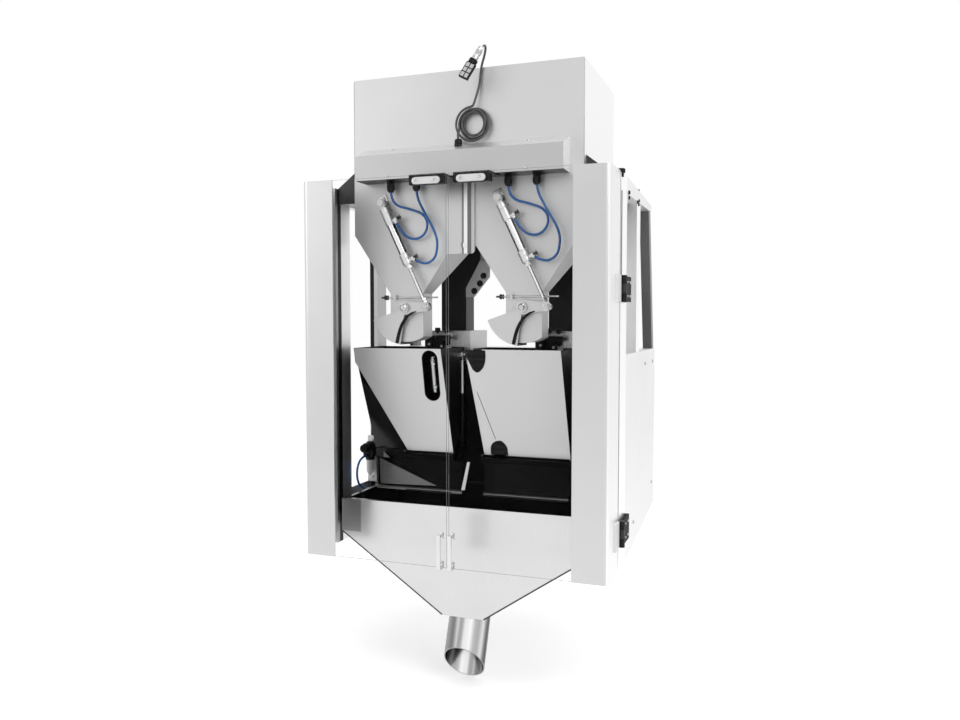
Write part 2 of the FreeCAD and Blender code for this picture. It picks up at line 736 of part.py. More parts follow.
def gate_rod():
    """Rod with an eye round the gate's drive pin."""
    rear, along, length = cylinder_axis()
    end = rear + along * length
    eye_body, eye_hole = eye(end, EYE_RADIUS, LINK_PIN + LINK_PLAY)
    shaft = rod(ROD_RADIUS, rear + along * ROD_INNER, end - along * (LINK_PIN + LINK_PLAY + SIDE_PLAY))
    return fused([shaft, eye_body]).cut(eye_hole)


def cylinder_mount():
    """Plate on the hopper with the cylinder's rear pin and a second bolt."""
    rear, along, _ = cylinder_axis()
    face = back(BOX_FRONT_DEPTH)
    front = face - MOUNT_PLATE
    outward = Vector(-along.z, 0, along.x)
    corners = [rear + along * a * MOUNT_LENGTH / 2 + outward * b * MOUNT_WIDTH / 2
               for a, b in ((-1, -1), (-1, 1), (1, 1), (1, -1))]
    plate = face_xz([(p.x, p.z) for p in corners], front, face)
    eye_front = link_plane() - EYE_SPAN / 2
    pin = rod_y(LINK_PIN, rear.x, rear.z, eye_front - SIDE_PLAY, front)
    head = rod_y(PIN_HEAD, rear.x, rear.z, eye_front - SIDE_PLAY - PIN_HEAD_THICK, eye_front - SIDE_PLAY)
    bolt_at = rear - along * (MOUNT_LENGTH / 2 - MOUNT_BOLT_EDGE)
    bolt = rod_y(MOUNT_BOLT, bolt_at.x, bolt_at.z, front - 2 * MOUNT_PLATE, front)
    return fused([plate, pin, head, bolt])


def gate_stop():
    """Stop bar across the front of the snout, with its adjusting lug."""
    z = STOP_Z - PIVOT_Z
    face = back(BOX_FRONT_DEPTH)
    bar = rod_x(STOP_RADIUS, face - STOP_RADIUS, z, STOP_LEFT, STOP_RIGHT)
    lug = block((STOP_LUG_X, STOP_LUG_X + STOP_LUG / 2), (face - STOP_LUG, face),
                (z - STOP_LUG / 2, z + STOP_LUG / 2))
    return bar.fuse(lug)


def at_head(shape, side):
    """Copy placed at a head's gate pivot."""
    return shape.translated(Vector(side * HEAD_PITCH / 2, 0, PIVOT_Z))


def gate_hose(name, side):
    """Blue air hose from a cylinder port into its gland."""
    port, points = HOSE_ROUTES[name]
    start = port_points(PORT_STATIONS[port], PORT_WAYS[port])[1]
    route = [start] + [Vector(x, back(depth), z) for x, depth, z in points]
    return at_head(hose(name + " hose", route, HOSE_DIA), side)


# Load cells, buckets and discharge doors

def load_cell(side):
    """Dark housing that hangs from the hanger beam."""
    left = side * HEAD_PITCH / 2 + CELL_LEFT
    right = left + CELL_WIDTH
    top = BOX_BOTTOM - HANGER_SPAN
    outline = [(left, CELL_BOTTOM), (right, CELL_BOTTOM), (right, CELL_KNEE_LOW),
               (right + CELL_SHOULDER, CELL_KNEE_HIGH), (right + CELL_SHOULDER, top), (left, top)]
    return face_xz(outline, back(CELL_DEPTH), back(CELL_DEPTH + CELL_SPAN))


def bucket_carrier(side):
    """Channel bracket from the load cell to the back of its bucket."""
    left = side * HEAD_PITCH / 2 + CARRIER_LEFT
    right = left + CARRIER_WIDTH
    front = back(BUCKET_REAR_DEPTH)
    rear = back(CELL_DEPTH + CELL_SPAN)
    outer = block((left, right), (front, rear), (CARRIER_BOTTOM, CELL_BOTTOM))
    channel = block((left + CARRIER_SHEET, right - CARRIER_SHEET),
                    (front + CARRIER_SHEET, rear + CARRIER_SHEET),
                    (CARRIER_BOTTOM - CARRIER_SHEET, CELL_BOTTOM - CARRIER_SHEET))
    return outer.cut(channel)


def inset(points, thickness):
    """Outline drawn in by a sheet's thickness."""
    turned = points[1:] + points[:1]
    area = sum(a[0] * b[1] - b[0] * a[1] for a, b in zip(points, turned))
    way = math.copysign(thickness, area)
    lines = []
    for start, end in zip(points, turned):
        run = math.hypot(end[0] - start[0], end[1] - start[1])
        along = ((end[0] - start[0]) / run, (end[1] - start[1]) / run)
        lines.append(((start[0] - along[1] * way, start[1] + along[0] * way), along))
    corners = []
    for (base, along), (other, onward) in zip(lines[-1:] + lines[:-1], lines):
        cross = along[0] * onward[1] - along[1] * onward[0]
        reach = ((other[0] - base[0]) * onward[1] - (other[1] - base[1]) * onward[0]) / cross
        corners.append((base[0] + along[0] * reach, base[1] + along[1] * reach))
    return corners


def bucket_corners(side):
    """X of the top left, top right, low right and low left corners."""
    return LEFT_BUCKET_X if side < 0 else RIGHT_BUCKET_X


def chute_edges(side):
    """Left and right X of the chute."""
    corners = bucket_corners(side)
    return corners[3], corners[2]


def bucket_form(side, thickness):
    """Body of a bucket with a leaning front, drawn in by its sheet and open above."""
    top_left, top_right, low_right, low_left = bucket_corners(side)
    top = BUCKET_TOP + 2 * thickness
    front_view = [(top_left, top), (top_right, top), (low_right, BUCKET_CHUTE), (low_right, CHUTE_BOTTOM),
                  (low_left, CHUTE_BOTTOM), (low_left, BUCKET_CHUTE)]
    if side < 0:
        front_view.append((top_left, LEFT_BUCKET_CUT))
    front, foot = back(BUCKET_FRONT_DEPTH), back(BUCKET_FRONT_DEPTH + BUCKET_LEAN)
    rear = back(BUCKET_REAR_DEPTH)
    side_view = [(front, top), (foot, BUCKET_CHUTE), (foot, CHUTE_BOTTOM), (foot + CHUTE_FLOOR, CHUTE_BOTTOM),
                 (rear, BUCKET_CHUTE), (rear, top)]
    wide = face_xz(inset(front_view, thickness), back(0), back(BODY_DEPTH))
    return wide.common(face_yz(inset(side_view, thickness), -HALF, HALF))


def hinge_line():
    """Y of the discharge door's hinge."""
    return back(BUCKET_FRONT_DEPTH + BUCKET_LEAN) - FLAP_FRONT_GAP - FLAP_BARREL


def lever_pin():
    """Y and Z of the pin on a discharge door's lever."""
    return hinge_line() + LEVER_BACK, FLAP_HINGE_Z + LEVER_UP


def bucket_cylinder_x(side):
    """X of the bucket cylinder, beside the chute's right wall."""
    return chute_edges(side)[1] + BUCKET_CYL_OFFSET


def hinge_ear(side, edge, outward):
    """Ear on a chute wall that holds one end of the door's pin."""
    front = hinge_line() - FLAP_BARREL
    rear = back(BUCKET_FRONT_DEPTH + BUCKET_LEAN) + EAR_REACH
    low, high = FLAP_HINGE_Z - FLAP_BARREL, BUCKET_CHUTE
    return block((edge, edge + outward * EAR_THICK), (front, rear), (low, high))


def weigh_bucket(side):
    """Sheet bucket with its chute, front openings and the ears of its door."""
    left, right = chute_edges(side)
    foot = back(BUCKET_FRONT_DEPTH + BUCKET_LEAN)
    mouth = block((left + BUCKET_SHEET, right - BUCKET_SHEET), (back(0), foot + 2 * BUCKET_SHEET),
                  (CHUTE_BOTTOM + BUCKET_SHEET, BUCKET_CHUTE - BUCKET_SHEET))
    shell = bucket_form(side, 0.0).cut(bucket_form(side, BUCKET_SHEET)).cut(mouth)
    body = fused([shell, hinge_ear(side, left, -1), hinge_ear(side, right, 1)])
    body = body.cut(rod_x(FLAP_PIN + RUNNING_GAP, hinge_line(), FLAP_HINGE_Z, left - 2 * EAR_THICK,
                          right + 2 * EAR_THICK))
    return body.cut(front_openings(side))


def front_openings(side):
    """Window in the left front plate, or the two rounded notches in the right one."""
    depth = (back(0), back(BUCKET_FRONT_DEPTH + BUCKET_LEAN + 2 * BUCKET_SHEET))
    if side < 0:
        half = WINDOW_WIDTH / 2
        reach = WINDOW_LENGTH / 2 - half
        cut = block((WINDOW_X - half, WINDOW_X + half), depth, (WINDOW_Z - reach, WINDOW_Z + reach))
        return fused([cut] + [rod_y(half, WINDOW_X, WINDOW_Z + way * reach, *depth) for way in (-1, 1)])
    top_x = (NOTCH_X - NOTCH_RADIUS, NOTCH_X + NOTCH_RADIUS)
    foot_x = (FOOT_NOTCH_X - NOTCH_RADIUS, FOOT_NOTCH_X + NOTCH_RADIUS)
    return group([
        fused([rod_y(NOTCH_RADIUS, NOTCH_X, NOTCH_Z + NOTCH_RADIUS, *depth),
               block(top_x, depth, (NOTCH_Z + NOTCH_RADIUS, BUCKET_TOP + NOTCH_RADIUS))]),
        fused([rod_y(NOTCH_RADIUS, FOOT_NOTCH_X, FOOT_NOTCH_Z, *depth),
               block(foot_x, depth, (BUCKET_CHUTE, FOOT_NOTCH_Z))])])


def bucket_bracket(side):
    """Arm on the bucket's side with the pin that the cylinder hangs on."""
    pin_y = lever_pin()[0]
    cylinder_x = bucket_cylinder_x(side)
    arm_end = cylinder_x - BUCKET_EYE_SPAN / 2 - FLAP_SIDE_GAP
    arm = block((chute_edges(side)[1] - 2 * BUCKET_CYL_OFFSET, arm_end),
                (pin_y - BRACKET_ARM, pin_y + BRACKET_ARM),
                (BUCKET_CYL_PIVOT_Z - BRACKET_ARM, BUCKET_CYL_PIVOT_Z + BRACKET_ARM))
    pin_end = cylinder_x + BUCKET_EYE_SPAN / 2 + FLAP_SIDE_GAP
    pin = rod_x(BUCKET_LINK_PIN, pin_y, BUCKET_CYL_PIVOT_Z, arm_end, pin_end)
    cap = rod_x(PIN_CAP, pin_y, BUCKET_CYL_PIVOT_Z, pin_end, pin_end + PIN_CAP_THICK)
    return fused([arm.cut(bucket_form(side, 0.0)), pin, cap])


def discharge_door(side):
    """Flap over the chute's mouth, with its barrel, pin, stiffening lip, lever and cross pin."""
    left, right = chute_edges(side)
    hinge_y = hinge_line()
    plate_rear = back(BUCKET_FRONT_DEPTH + BUCKET_LEAN) - FLAP_FRONT_GAP
    x = (left + FLAP_SIDE_GAP, right - FLAP_SIDE_GAP)
    plate = block(x, (plate_rear - FLAP_SHEET, plate_rear), (FLAP_BOTTOM, FLAP_HINGE_Z))
    lip = block(x, (plate_rear - FLAP_LIP, plate_rear), (FLAP_BOTTOM - FLAP_SHEET, FLAP_BOTTOM))
    lever_x = right + EAR_THICK + FLAP_SIDE_GAP
    lever_end = lever_x + LEVER_THICK
    pin = rod_x(FLAP_PIN, hinge_y, FLAP_HINGE_Z, left - EAR_THICK - FLAP_SIDE_GAP, lever_x)
    barrel = rod_x(FLAP_BARREL, hinge_y, FLAP_HINGE_Z, *x)
    pin_y, pin_z = lever_pin()
    run = math.hypot(LEVER_BACK, LEVER_UP)
    normal = (-LEVER_UP / run * LEVER_RADIUS, LEVER_BACK / run * LEVER_RADIUS)
    outline = [(hinge_y + normal[0], FLAP_HINGE_Z + normal[1]), (pin_y + normal[0], pin_z + normal[1]),
               (pin_y - normal[0], pin_z - normal[1]), (hinge_y - normal[0], FLAP_HINGE_Z - normal[1])]
    cross_end = bucket_cylinder_x(side) + BUCKET_EYE_SPAN / 2 + FLAP_SIDE_GAP
    return fused([
        plate, lip, pin, barrel, face_yz(outline, lever_x, lever_end),
        rod_x(LEVER_RADIUS, hinge_y, FLAP_HINGE_Z, lever_x, lever_end),
        rod_x(LEVER_RADIUS, pin_y, pin_z, lever_x, lever_end),
        rod_x(BUCKET_LINK_PIN, pin_y, pin_z, lever_end, cross_end),
        rod_x(PIN_CAP, pin_y, pin_z, cross_end, cross_end + PIN_CAP_THICK)])


def bucket_cylinder(side):
    """Slim upright barrel that hangs from the bucket's bracket."""
    x = bucket_cylinder_x(side)
    y = lever_pin()[0]
    half = BUCKET_EYE_SPAN / 2
    body = fused([
        rod_x(BUCKET_EYE, y, BUCKET_CYL_PIVOT_Z, x - half, x + half),
        rod_z(half, x, y, BUCKET_CYL_TOP, BUCKET_CYL_PIVOT_Z),
        rod_z(BUCKET_CYL_RADIUS, x, y, BUCKET_CYL_BOTTOM, BUCKET_CYL_TOP),
        rod_z(BUCKET_NOSE, x, y, BUCKET_CYL_BOTTOM - BUCKET_NOSE_LENGTH, BUCKET_CYL_BOTTOM)])
    body = body.cut(rod_x(BUCKET_LINK_PIN + RUNNING_GAP, y, BUCKET_CYL_PIVOT_Z, x - 2 * half, x + 2 * half))
    return body.cut(rod_z(BUCKET_ROD + ROD_CLEAR, x, y, BUCKET_CYL_BOTTOM - 2 * BUCKET_NOSE_LENGTH,
                          BUCKET_ROD_TOP + BUCKET_STROKE_ROOM))


def bucket_rod(side):
    """Rod with an eye round the lever's cross pin."""
    x = bucket_cylinder_x(side)
    y, z = lever_pin()
    half = BUCKET_EYE_SPAN / 2
    hole = BUCKET_LINK_PIN + BUCKET_LINK_PLAY
    shaft = rod_z(BUCKET_ROD, x, y, z + hole, BUCKET_ROD_TOP)
    eye_body = rod_x(BUCKET_EYE, y, z, x - half, x + half)
    return fused([shaft, eye_body]).cut(rod_x(hole, y, z, x - 2 * half, x + 2 * half))


# Collecting funnel and spout

def funnel_form(thickness):
    """Band and pyramid of the funnel, drawn in by its sheet and open above."""
    half = FUNNEL_HALF - thickness
    y = (back(FUNNEL_FRONT_DEPTH + thickness), back(FUNNEL_REAR_DEPTH - thickness))
    band = block((-half, half), y, (FUNNEL_KNEE, FUNNEL_RIM + thickness))
    out_half = OUTLET_WIDTH / 2 - thickness
    out_y = (back(OUTLET_FRONT_DEPTH + thickness), back(OUTLET_FRONT_DEPTH + OUTLET_SPAN - thickness))
    wires = []
    for reach, ys, z in ((half, y, FUNNEL_KNEE), (out_half, out_y, FUNNEL_OUTLET + thickness)):
        corners = [Vector(-reach, ys[0], z), Vector(reach, ys[0], z), Vector(reach, ys[1], z),
                   Vector(-reach, ys[1], z)]
        wires.append(Part.makePolygon(corners + corners[:1]))
    return band.fuse(Part.makeLoft(wires, True, True))


def spout_line():
    """Top of the spout's axis and its direction."""
    lean = math.radians(SPOUT_LEAN)
    top = Vector(0, back(OUTLET_FRONT_DEPTH + OUTLET_SPAN / 2), FUNNEL_OUTLET)
    return top, Vector(0, -math.sin(lean), -math.cos(lean))


def collecting_funnel():
    """Sheet funnel under both buckets, with a hole for the spout."""
    top, along = spout_line()
    hole = rod(SPOUT_RADIUS - SPOUT_WALL, top - along * SPOUT_RADIUS, top + along * SPOUT_RADIUS)
    return funnel_form(0.0).cut(funnel_form(FUNNEL_SHEET)).cut(hole).removeSplitter()


def spout():
    """Round spout that leans forward, cut so that its mouth faces the front."""
    top, along = spout_line()
    reach = SPOUT_LENGTH + 2 * SPOUT_RADIUS
    tube = rod(SPOUT_RADIUS, top - along * SPOUT_RADIUS, top + along * reach)
    tube = tube.cut(rod(SPOUT_RADIUS - SPOUT_WALL, top - along * 2 * SPOUT_RADIUS, top + along * 2 * reach))
    below = block((-HALF, HALF), (back(-BODY_DEPTH), back(BODY_DEPTH)),
                  (FUNNEL_OUTLET - 2 * reach, FUNNEL_OUTLET))
    cutter = Part.makeBox(2 * reach, 2 * reach, 2 * reach, Vector(-reach, -reach, 0))
    cutter.rotate(Vector(0, 0, 0), Vector(1, 0, 0), 180 - MOUTH_TILT)
    cutter.translate(top + along * SPOUT_LENGTH)
    return tube.common(below).cut(cutter)


# Air regulator

def air_regulator():
    """Filter regulator with a front knob, a hanging bowl, and its bracket on the mid post."""
    half = REGULATOR_BODY / 2
    front, rear = back(REGULATOR_DEPTH), back(REGULATOR_DEPTH + REGULATOR_BODY)
    x = (REGULATOR_X - half, REGULATOR_X + half)
    top = REGULATOR_BOTTOM + REGULATOR_HEIGHT
    arm_x = (x[0] - STRIP_THICK, x[0] - STRIP_THICK + ARM_WIDTH)
    return fused([
        block(x, (front, rear), (REGULATOR_BOTTOM, top)),
        rod_y(KNOB_RADIUS, REGULATOR_X, top - KNOB_RADIUS, front - KNOB_LENGTH, front),
        rod_z(BOWL_RADIUS, REGULATOR_X, (front + rear) / 2, REGULATOR_BOTTOM - BOWL_LENGTH, REGULATOR_BOTTOM),
        rod(REGULATOR_PORT, regulator_port(), regulator_port() + Vector(0, 2 * KNOB_RADIUS, 0)),
        block(x, (rear, rear + STRIP_THICK), (STRIP_BOTTOM, STRIP_TOP)),
        block(arm_x, (rear, back(MID_POST_DEPTH)), ARM_LEVELS)])


def regulator_port():
    """Start of the regulator's hose."""
    return Vector(REGULATOR_X, back(REGULATOR_DEPTH - KNOB_RADIUS), REGULATOR_BOTTOM + CABINET_GLAND)


def cabinet_gland():
    """Gland on the cabinet where the regulator's hose goes in."""
    depth, z = REGULATOR_HOSE[-1]
    return rod_y(CABINET_GLAND, REGULATOR_X, z, back(depth), back(CABINET_FRONT_DEPTH))


def regulator_hose():
    """Blue supply hose that drops from the regulator and runs back to the cabinet."""
    route = [Vector(REGULATOR_X, back(depth), z) for depth, z in REGULATOR_HOSE]
    return hose("regulator hose", [regulator_port()] + route, HOSE_DIA)


# Signal cable

def signal_gland():
    """Black gland on the valve box's sloping top."""
    y = back(BOX_FRONT_DEPTH) - 2 * COIL_SECTION - SEAT_GAP
    return rod_z(SIGNAL_GLAND_RADIUS, SIGNAL_GLAND_X, y, VALVE_FACE_TOP, SIGNAL_GLAND_TOP).cut(valve_box())


def signal_coil():
    """Outer form of the coiled cable, standing on the valve box against the supply box."""
    centre = Vector(COIL_X, back(BOX_FRONT_DEPTH) - SEAT_GAP - COIL_SECTION,
                    VALVE_BACK_TOP + SEAT_GAP + COIL_MEAN_RADIUS + COIL_SECTION)
    return Part.makeTorus(COIL_MEAN_RADIUS, COIL_SECTION, centre, Vector(0, 1, 0))


def signal_lead():
    """Short stretch from the gland to the coil."""
    start = Vector(SIGNAL_GLAND_X, back(BOX_FRONT_DEPTH) - 2 * COIL_SECTION - SEAT_GAP, SIGNAL_GLAND_TOP)
    route = [start] + [Vector(x, back(depth), z) for x, depth, z in SIGNAL_LEAD]
    return hose("signal lead", route, CABLE_DIA)


def signal_tail():
    """Free end of the cable, up the front of the supply box and over to its connector."""
    return hose("signal tail", [Vector(x, back(depth), z) for x, depth, z in SIGNAL_TAIL], CABLE_DIA)


def signal_connector():
    """Round connector with a collar and a flat terminal block."""
    x, depth, z = SIGNAL_TAIL[-1]
    start = Vector(x, back(depth), z)
    way = Vector(*PLUG_WAY).normalize()
    across = Vector(-way.z, 0, way.x).normalize()
    facing = way.cross(across)
    end = start + way * PLUG_LENGTH
    corners = [end + across * a * TAG_WIDTH / 2 + way * b * TAG_LENGTH - facing * TAG_THICK / 2
               for a, b in ((-1, 0), (1, 0), (1, 1), (-1, 1), (-1, 0))]
    tag = Part.Face(Part.makePolygon(corners)).extrude(facing * TAG_THICK)
    collar = rod(PLUG_RADIUS, end - way * PLUG_RADIUS, end)
    return fused([rod(PLUG_RADIUS - PLUG_STEP, start, end), collar, tag])


# Doors

def corner_edge(shape, x, y):
    """Upright edge at a corner."""
    return [edge for edge in shape.Edges
            if abs(edge.CenterOfMass.x - x) < SEAT_GAP and abs(edge.CenterOfMass.y - y) < SEAT_GAP]


def door_stile(side):
    """Folded sheet stile with a rounded outer corner."""
    outer = block((side * HALF, side * (HALF - WING_WIDTH)), (back(0), back(WING_DEPTH)),
                  (DOOR_BOTTOM, DOOR_TOP))
    inner = block((side * (HALF - PANEL), side * (HALF - WING_WIDTH - PANEL)),
                  (back(PANEL), back(WING_DEPTH + PANEL)), (DOOR_BOTTOM - PANEL, DOOR_TOP + PANEL))
    outer = outer.makeFillet(WING_RADIUS, corner_edge(outer, side * HALF, back(0)))
    inner = inner.makeFillet(WING_RADIUS - PANEL, corner_edge(inner, side * (HALF - PANEL), back(PANEL)))
    return outer.cut(inner)


def door_pane(side):
    """Clear sheet behind the stile's front."""
    return block((side * PANE_GAP / 2, side * (HALF - WING_WIDTH + PANE_LAP)),
                 (back(PANEL), back(PANEL + PANE_THICK)), (DOOR_BOTTOM, DOOR_TOP))


def door_pull(side):
    """Slim pull at the foot of the clear sheet's free edge."""
    start = PANE_GAP / 2 + HANDLE_INSET
    x = (side * start, side * (start + HANDLE_WIDTH))
    rear, front = back(PANEL), back(PANEL - HANDLE_REACH)
    grip = block(x, (front, rear), (DOOR_BOTTOM, DOOR_BOTTOM + HANDLE_HEIGHT))
    finger = block(x, (front + HANDLE_BAR, rear + HANDLE_BAR),
                   (DOOR_BOTTOM + HANDLE_BAR, DOOR_BOTTOM + HANDLE_HEIGHT - HANDLE_BAR))
    return grip.cut(finger)


def strike_plate(side):
    """White strike plate behind the top of the clear sheet."""
    rear = back(PANEL + PANE_THICK)
    top = DOOR_TOP - STRIKE_DROP
    return block((side * STRIKE_START, side * (STRIKE_START + STRIKE_LENGTH)), (rear, rear + STRIKE_THICK),
                 (top - STRIKE_HEIGHT, top))


def hinge_half(side, level, moving):
    """Leaf and knuckles of one hinge: the middle knuckle turns with the door."""
    x = side * (HALF + HINGE_OFFSET)
    y = back(HINGE_DEPTH)
    top = level + HINGE_HEIGHT
    third = HINGE_HEIGHT / 3
    middle = (level + third + SEAT_GAP, level + 2 * third - SEAT_GAP)
    way = -1 if moving else 1
    leaf = block((side * HALF, side * (HALF + HINGE_LEAF)), (y, y + way * HINGE_LEAF_REACH), (level, top))
    clear = HINGE_RADIUS + HINGE_SLACK
    if moving:
        leaf = leaf.cut(rod_z(clear, x, y, level, middle[0])).cut(rod_z(clear, x, y, middle[1], top))
        half = fused([leaf, rod_z(HINGE_RADIUS, x, y, *middle)])
        return half.cut(rod_z(HINGE_PIN + RUNNING_GAP, x, y, level, top))
    leaf = leaf.cut(rod_z(clear, x, y, level + third, top - third))
    return fused([leaf, rod_z(HINGE_PIN, x, y, level, top), rod_z(HINGE_RADIUS, x, y, level, level + third),
                  rod_z(HINGE_RADIUS, x, y, top - third, top)])


def hinges(side, moving):
    """Both hinge halves of a door that share a body."""
    return [hinge_half(side, level, moving) for level in HINGE_LEVELS]


# Nodes

def on_both(make):
    """One node with the left and right pieces."""
    return group([make(side) for side in SIDES.values()])


def frame_posts():
    """Front, mid and rear posts of both sides."""
    return group([make(side) for make in (front_post, mid_post, rear_post) for side in SIDES.values()])


def head_fittings():
    """Pivot studs, stop bars and cylinder mounts on both hoppers."""
    solids = pivot_studs().Solids + [gate_stop(), cylinder_mount()]
    return group([at_head(solid, side) for side in SIDES.values() for solid in solids])


def fixed_nodes():
    """Pieces that stand still."""
    return {
        "rear_cabinet": rear_cabinet(),
        "base_frame": base_frame(),
        "frame_posts": frame_posts(),
        "top_rails": on_both(top_rail),
        "box_supports": group([hanger_beam()] + [hanger_bracket(side) for side in SIDES.values()]),
        "supply_box": supply_box(),
        "cover_strip": cover_strip(),
        "valve_box": valve_box(),
        "glands": group([hose_gland(x) for x in gland_x()] + [cabinet_gland(), signal_gland()]),
        "door_catches": on_both(door_catch),
        "head_fittings": head_fittings(),
        "load_cells": on_both(load_cell),
        "bucket_carriers": on_both(bucket_carrier),
        "bucket_brackets": on_both(bucket_bracket),
        "collecting_funnel": collecting_funnel(),
        "spout": spout(),
        "door_hinges": group(hinges(-1, False) + hinges(1, False)),
        "air_regulator": air_regulator(),
        "regulator_hose": regulator_hose(),
        "signal_lead": signal_lead(),
        "signal_coil": signal_coil(),
        "signal_tail": signal_tail(),
        "signal_connector": signal_connector(),
    }


def side_nodes(name, side):
    """Pieces of one head, one door and one side of the body."""
    return {
        name + "_side_panel": side_panel(side),
        name + "_feed_hopper": feed_hopper(side),
        name + "_sector_gate": at_head(sector_gate(), side),
        name + "_gate_cylinder": at_head(gate_cylinder(), side),
        name + "_gate_rod": at_head(gate_rod(), side),
        name + "_upper_hose": gate_hose("upper", side),
        name + "_lower_hose": gate_hose("lower", side),
        name + "_weigh_bucket": weigh_bucket(side),
        name + "_discharge_door": discharge_door(side),
        name + "_bucket_cylinder": bucket_cylinder(side),
        name + "_bucket_rod": bucket_rod(side),
        name + "_door_stile": door_stile(side),
        name + "_door_pane": door_pane(side),
        name + "_door_pull": group([door_pull(side), strike_plate(side)]),
        name + "_hinge_leaves": group(hinges(side, True)),
    }


os.makedirs("parts", exist_ok=True)
nodes = fixed_nodes()
for word, way in SIDES.items():
    nodes.update(side_nodes(word, way))
for node, shape in nodes.items():
    shape.exportStep("parts/" + node + ".step")
    print(node, "solids", len(shape.Solids), "valid", shape.isValid())
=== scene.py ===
"""Looks of the two-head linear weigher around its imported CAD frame.

Metres in Blender; at() takes millimetres: X, depth behind the closed doors and height, as in the CAD source.
"""

import math

import bmesh
import bpy
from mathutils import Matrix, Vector


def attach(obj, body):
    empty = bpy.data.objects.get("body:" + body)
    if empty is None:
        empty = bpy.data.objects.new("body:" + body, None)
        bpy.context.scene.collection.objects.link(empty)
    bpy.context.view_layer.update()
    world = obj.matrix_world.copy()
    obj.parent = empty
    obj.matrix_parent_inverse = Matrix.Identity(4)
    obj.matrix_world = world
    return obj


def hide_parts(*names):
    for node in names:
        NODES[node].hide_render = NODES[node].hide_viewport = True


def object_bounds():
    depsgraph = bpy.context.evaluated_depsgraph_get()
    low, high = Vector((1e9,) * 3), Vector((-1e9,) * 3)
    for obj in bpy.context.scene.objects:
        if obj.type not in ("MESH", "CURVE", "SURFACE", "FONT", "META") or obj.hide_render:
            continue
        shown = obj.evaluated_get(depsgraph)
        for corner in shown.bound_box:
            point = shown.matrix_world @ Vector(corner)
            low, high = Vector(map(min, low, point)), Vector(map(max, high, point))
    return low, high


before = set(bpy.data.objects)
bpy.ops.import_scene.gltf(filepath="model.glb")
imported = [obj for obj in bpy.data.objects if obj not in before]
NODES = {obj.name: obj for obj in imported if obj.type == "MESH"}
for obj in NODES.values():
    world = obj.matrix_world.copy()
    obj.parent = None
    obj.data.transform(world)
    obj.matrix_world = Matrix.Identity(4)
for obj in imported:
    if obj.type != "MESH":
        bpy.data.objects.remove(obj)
cad_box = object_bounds()

MM = 0.001
DOOR_PLANE = -600.0
SIDES = {"left": -1, "right": 1}
LEFT, RIGHT, FRONT, BACK = Vector((-1, 0, 0)), Vector((1, 0, 0)), Vector((0, -1, 0)), Vector((0, 1, 0))
DOWN, UP = Vector((0, 0, -1)), Vector((0, 0, 1))
CYLINDER_OUT = Vector((0.90425, 0, 0.42701))
VALVE_SLOPE = Vector((0, -0.3686, 0.9296))


def at(x, depth, z):
    """Point in metres from X, depth and height in millimetres."""
    return Vector((x, depth + DOOR_PLANE, z)) * MM


# Materials

EVEN, UPRIGHT, ACROSS = (1, 1, 1), (1, 1, 0.03), (0.03, 1, 1)
NOISE_LOW, NOISE_HIGH = 0.3, 0.7
BROAD_SCALE = 6.0
SHEET_SCALE, ROUND_SCALE, PANE_SCALE = 900.0, 700.0, 40.0
HOLE_SCALE = 330.0


def link(material, source, target):
    material.node_tree.links.new(source, target)


def noise(material, scale, stretch, detail=3.0):
    """Noise in the piece's own frame, stretched along an axis."""
    nodes = material.node_tree.nodes
    coords = nodes.new("ShaderNodeTexCoord")
    mapping = nodes.new("ShaderNodeMapping")
    mapping.inputs["Scale"].default_value = stretch
    link(material, coords.outputs["Object"], mapping.inputs["Vector"])
    texture = nodes.new("ShaderNodeTexNoise")
    texture.inputs["Scale"].default_value = scale
    texture.inputs["Detail"].default_value = detail
    link(material, mapping.outputs["Vector"], texture.inputs["Vector"])
    return texture.outputs["Fac"]


def spread(material, value, low, high):
    """Noise turned into a range between two numbers."""
    node = material.node_tree.nodes.new("ShaderNodeMapRange")
    node.inputs["From Min"].default_value = NOISE_LOW
    node.inputs["From Max"].default_value = NOISE_HIGH
    node.inputs["To Min"].default_value = low
    node.inputs["To Max"].default_value = high
    link(material, value, node.inputs["Value"])
    return node.outputs["Result"]


def mixed(material, share, first, second):
    """Colour between two colours."""
    node = material.node_tree.nodes.new("ShaderNodeMix")
    node.data_type = "RGBA"
    link(material, share, node.inputs["Factor"])
    for socket, value in ((node.inputs["A"], first), (node.inputs["B"], second)):
        if isinstance(value, tuple):
            socket.default_value = (*value, 1)
        else:
            link(material, value, socket)
    return node.outputs["Result"]


def grey(level):
    return (level, level, level)


def surface(name, colour, metallic, rough, grain, scale, mottle, wobble, bump, edge=0.6, **sockets):
    """Principled surface with mottled colour, uneven roughness, fine bump and softened edges.

    Grain stretches the fine noise, mottle and wobble are shares, and edge is a radius in millimetres.
    """
    material = bpy.data.materials.new(name)
    material.use_nodes = True
    nodes = material.node_tree.nodes
    shader = nodes["Principled BSDF"]
    shader.inputs["Metallic"].default_value = metallic
    for key, value in sockets.items():
        shader.inputs[key.replace("_", " ")].default_value = value
    fine = noise(material, scale, grain)
    broad = noise(material, BROAD_SCALE, EVEN, 2.0)
    link(material, spread(material, fine, rough - wobble, rough + wobble), shader.inputs["Roughness"])
    darker = tuple(c * (1 - mottle) for c in colour)
    lighter = tuple(min(1.0, c * (1 + mottle)) for c in colour)
    link(material, mixed(material, spread(material, broad, 0, 1), darker, lighter), shader.inputs["Base Color"])
    height = nodes.new("ShaderNodeBump")
    height.inputs["Strength"].default_value = bump
    height.inputs["Distance"].default_value = MM
    link(material, fine, height.inputs["Height"])
    if edge:
        rounded = nodes.new("ShaderNodeBevel")
        rounded.inputs["Radius"].default_value = edge * MM
        link(material, rounded.outputs["Normal"], height.inputs["Normal"])
    link(material, height.outputs["Normal"], shader.inputs["Normal"])
    return material


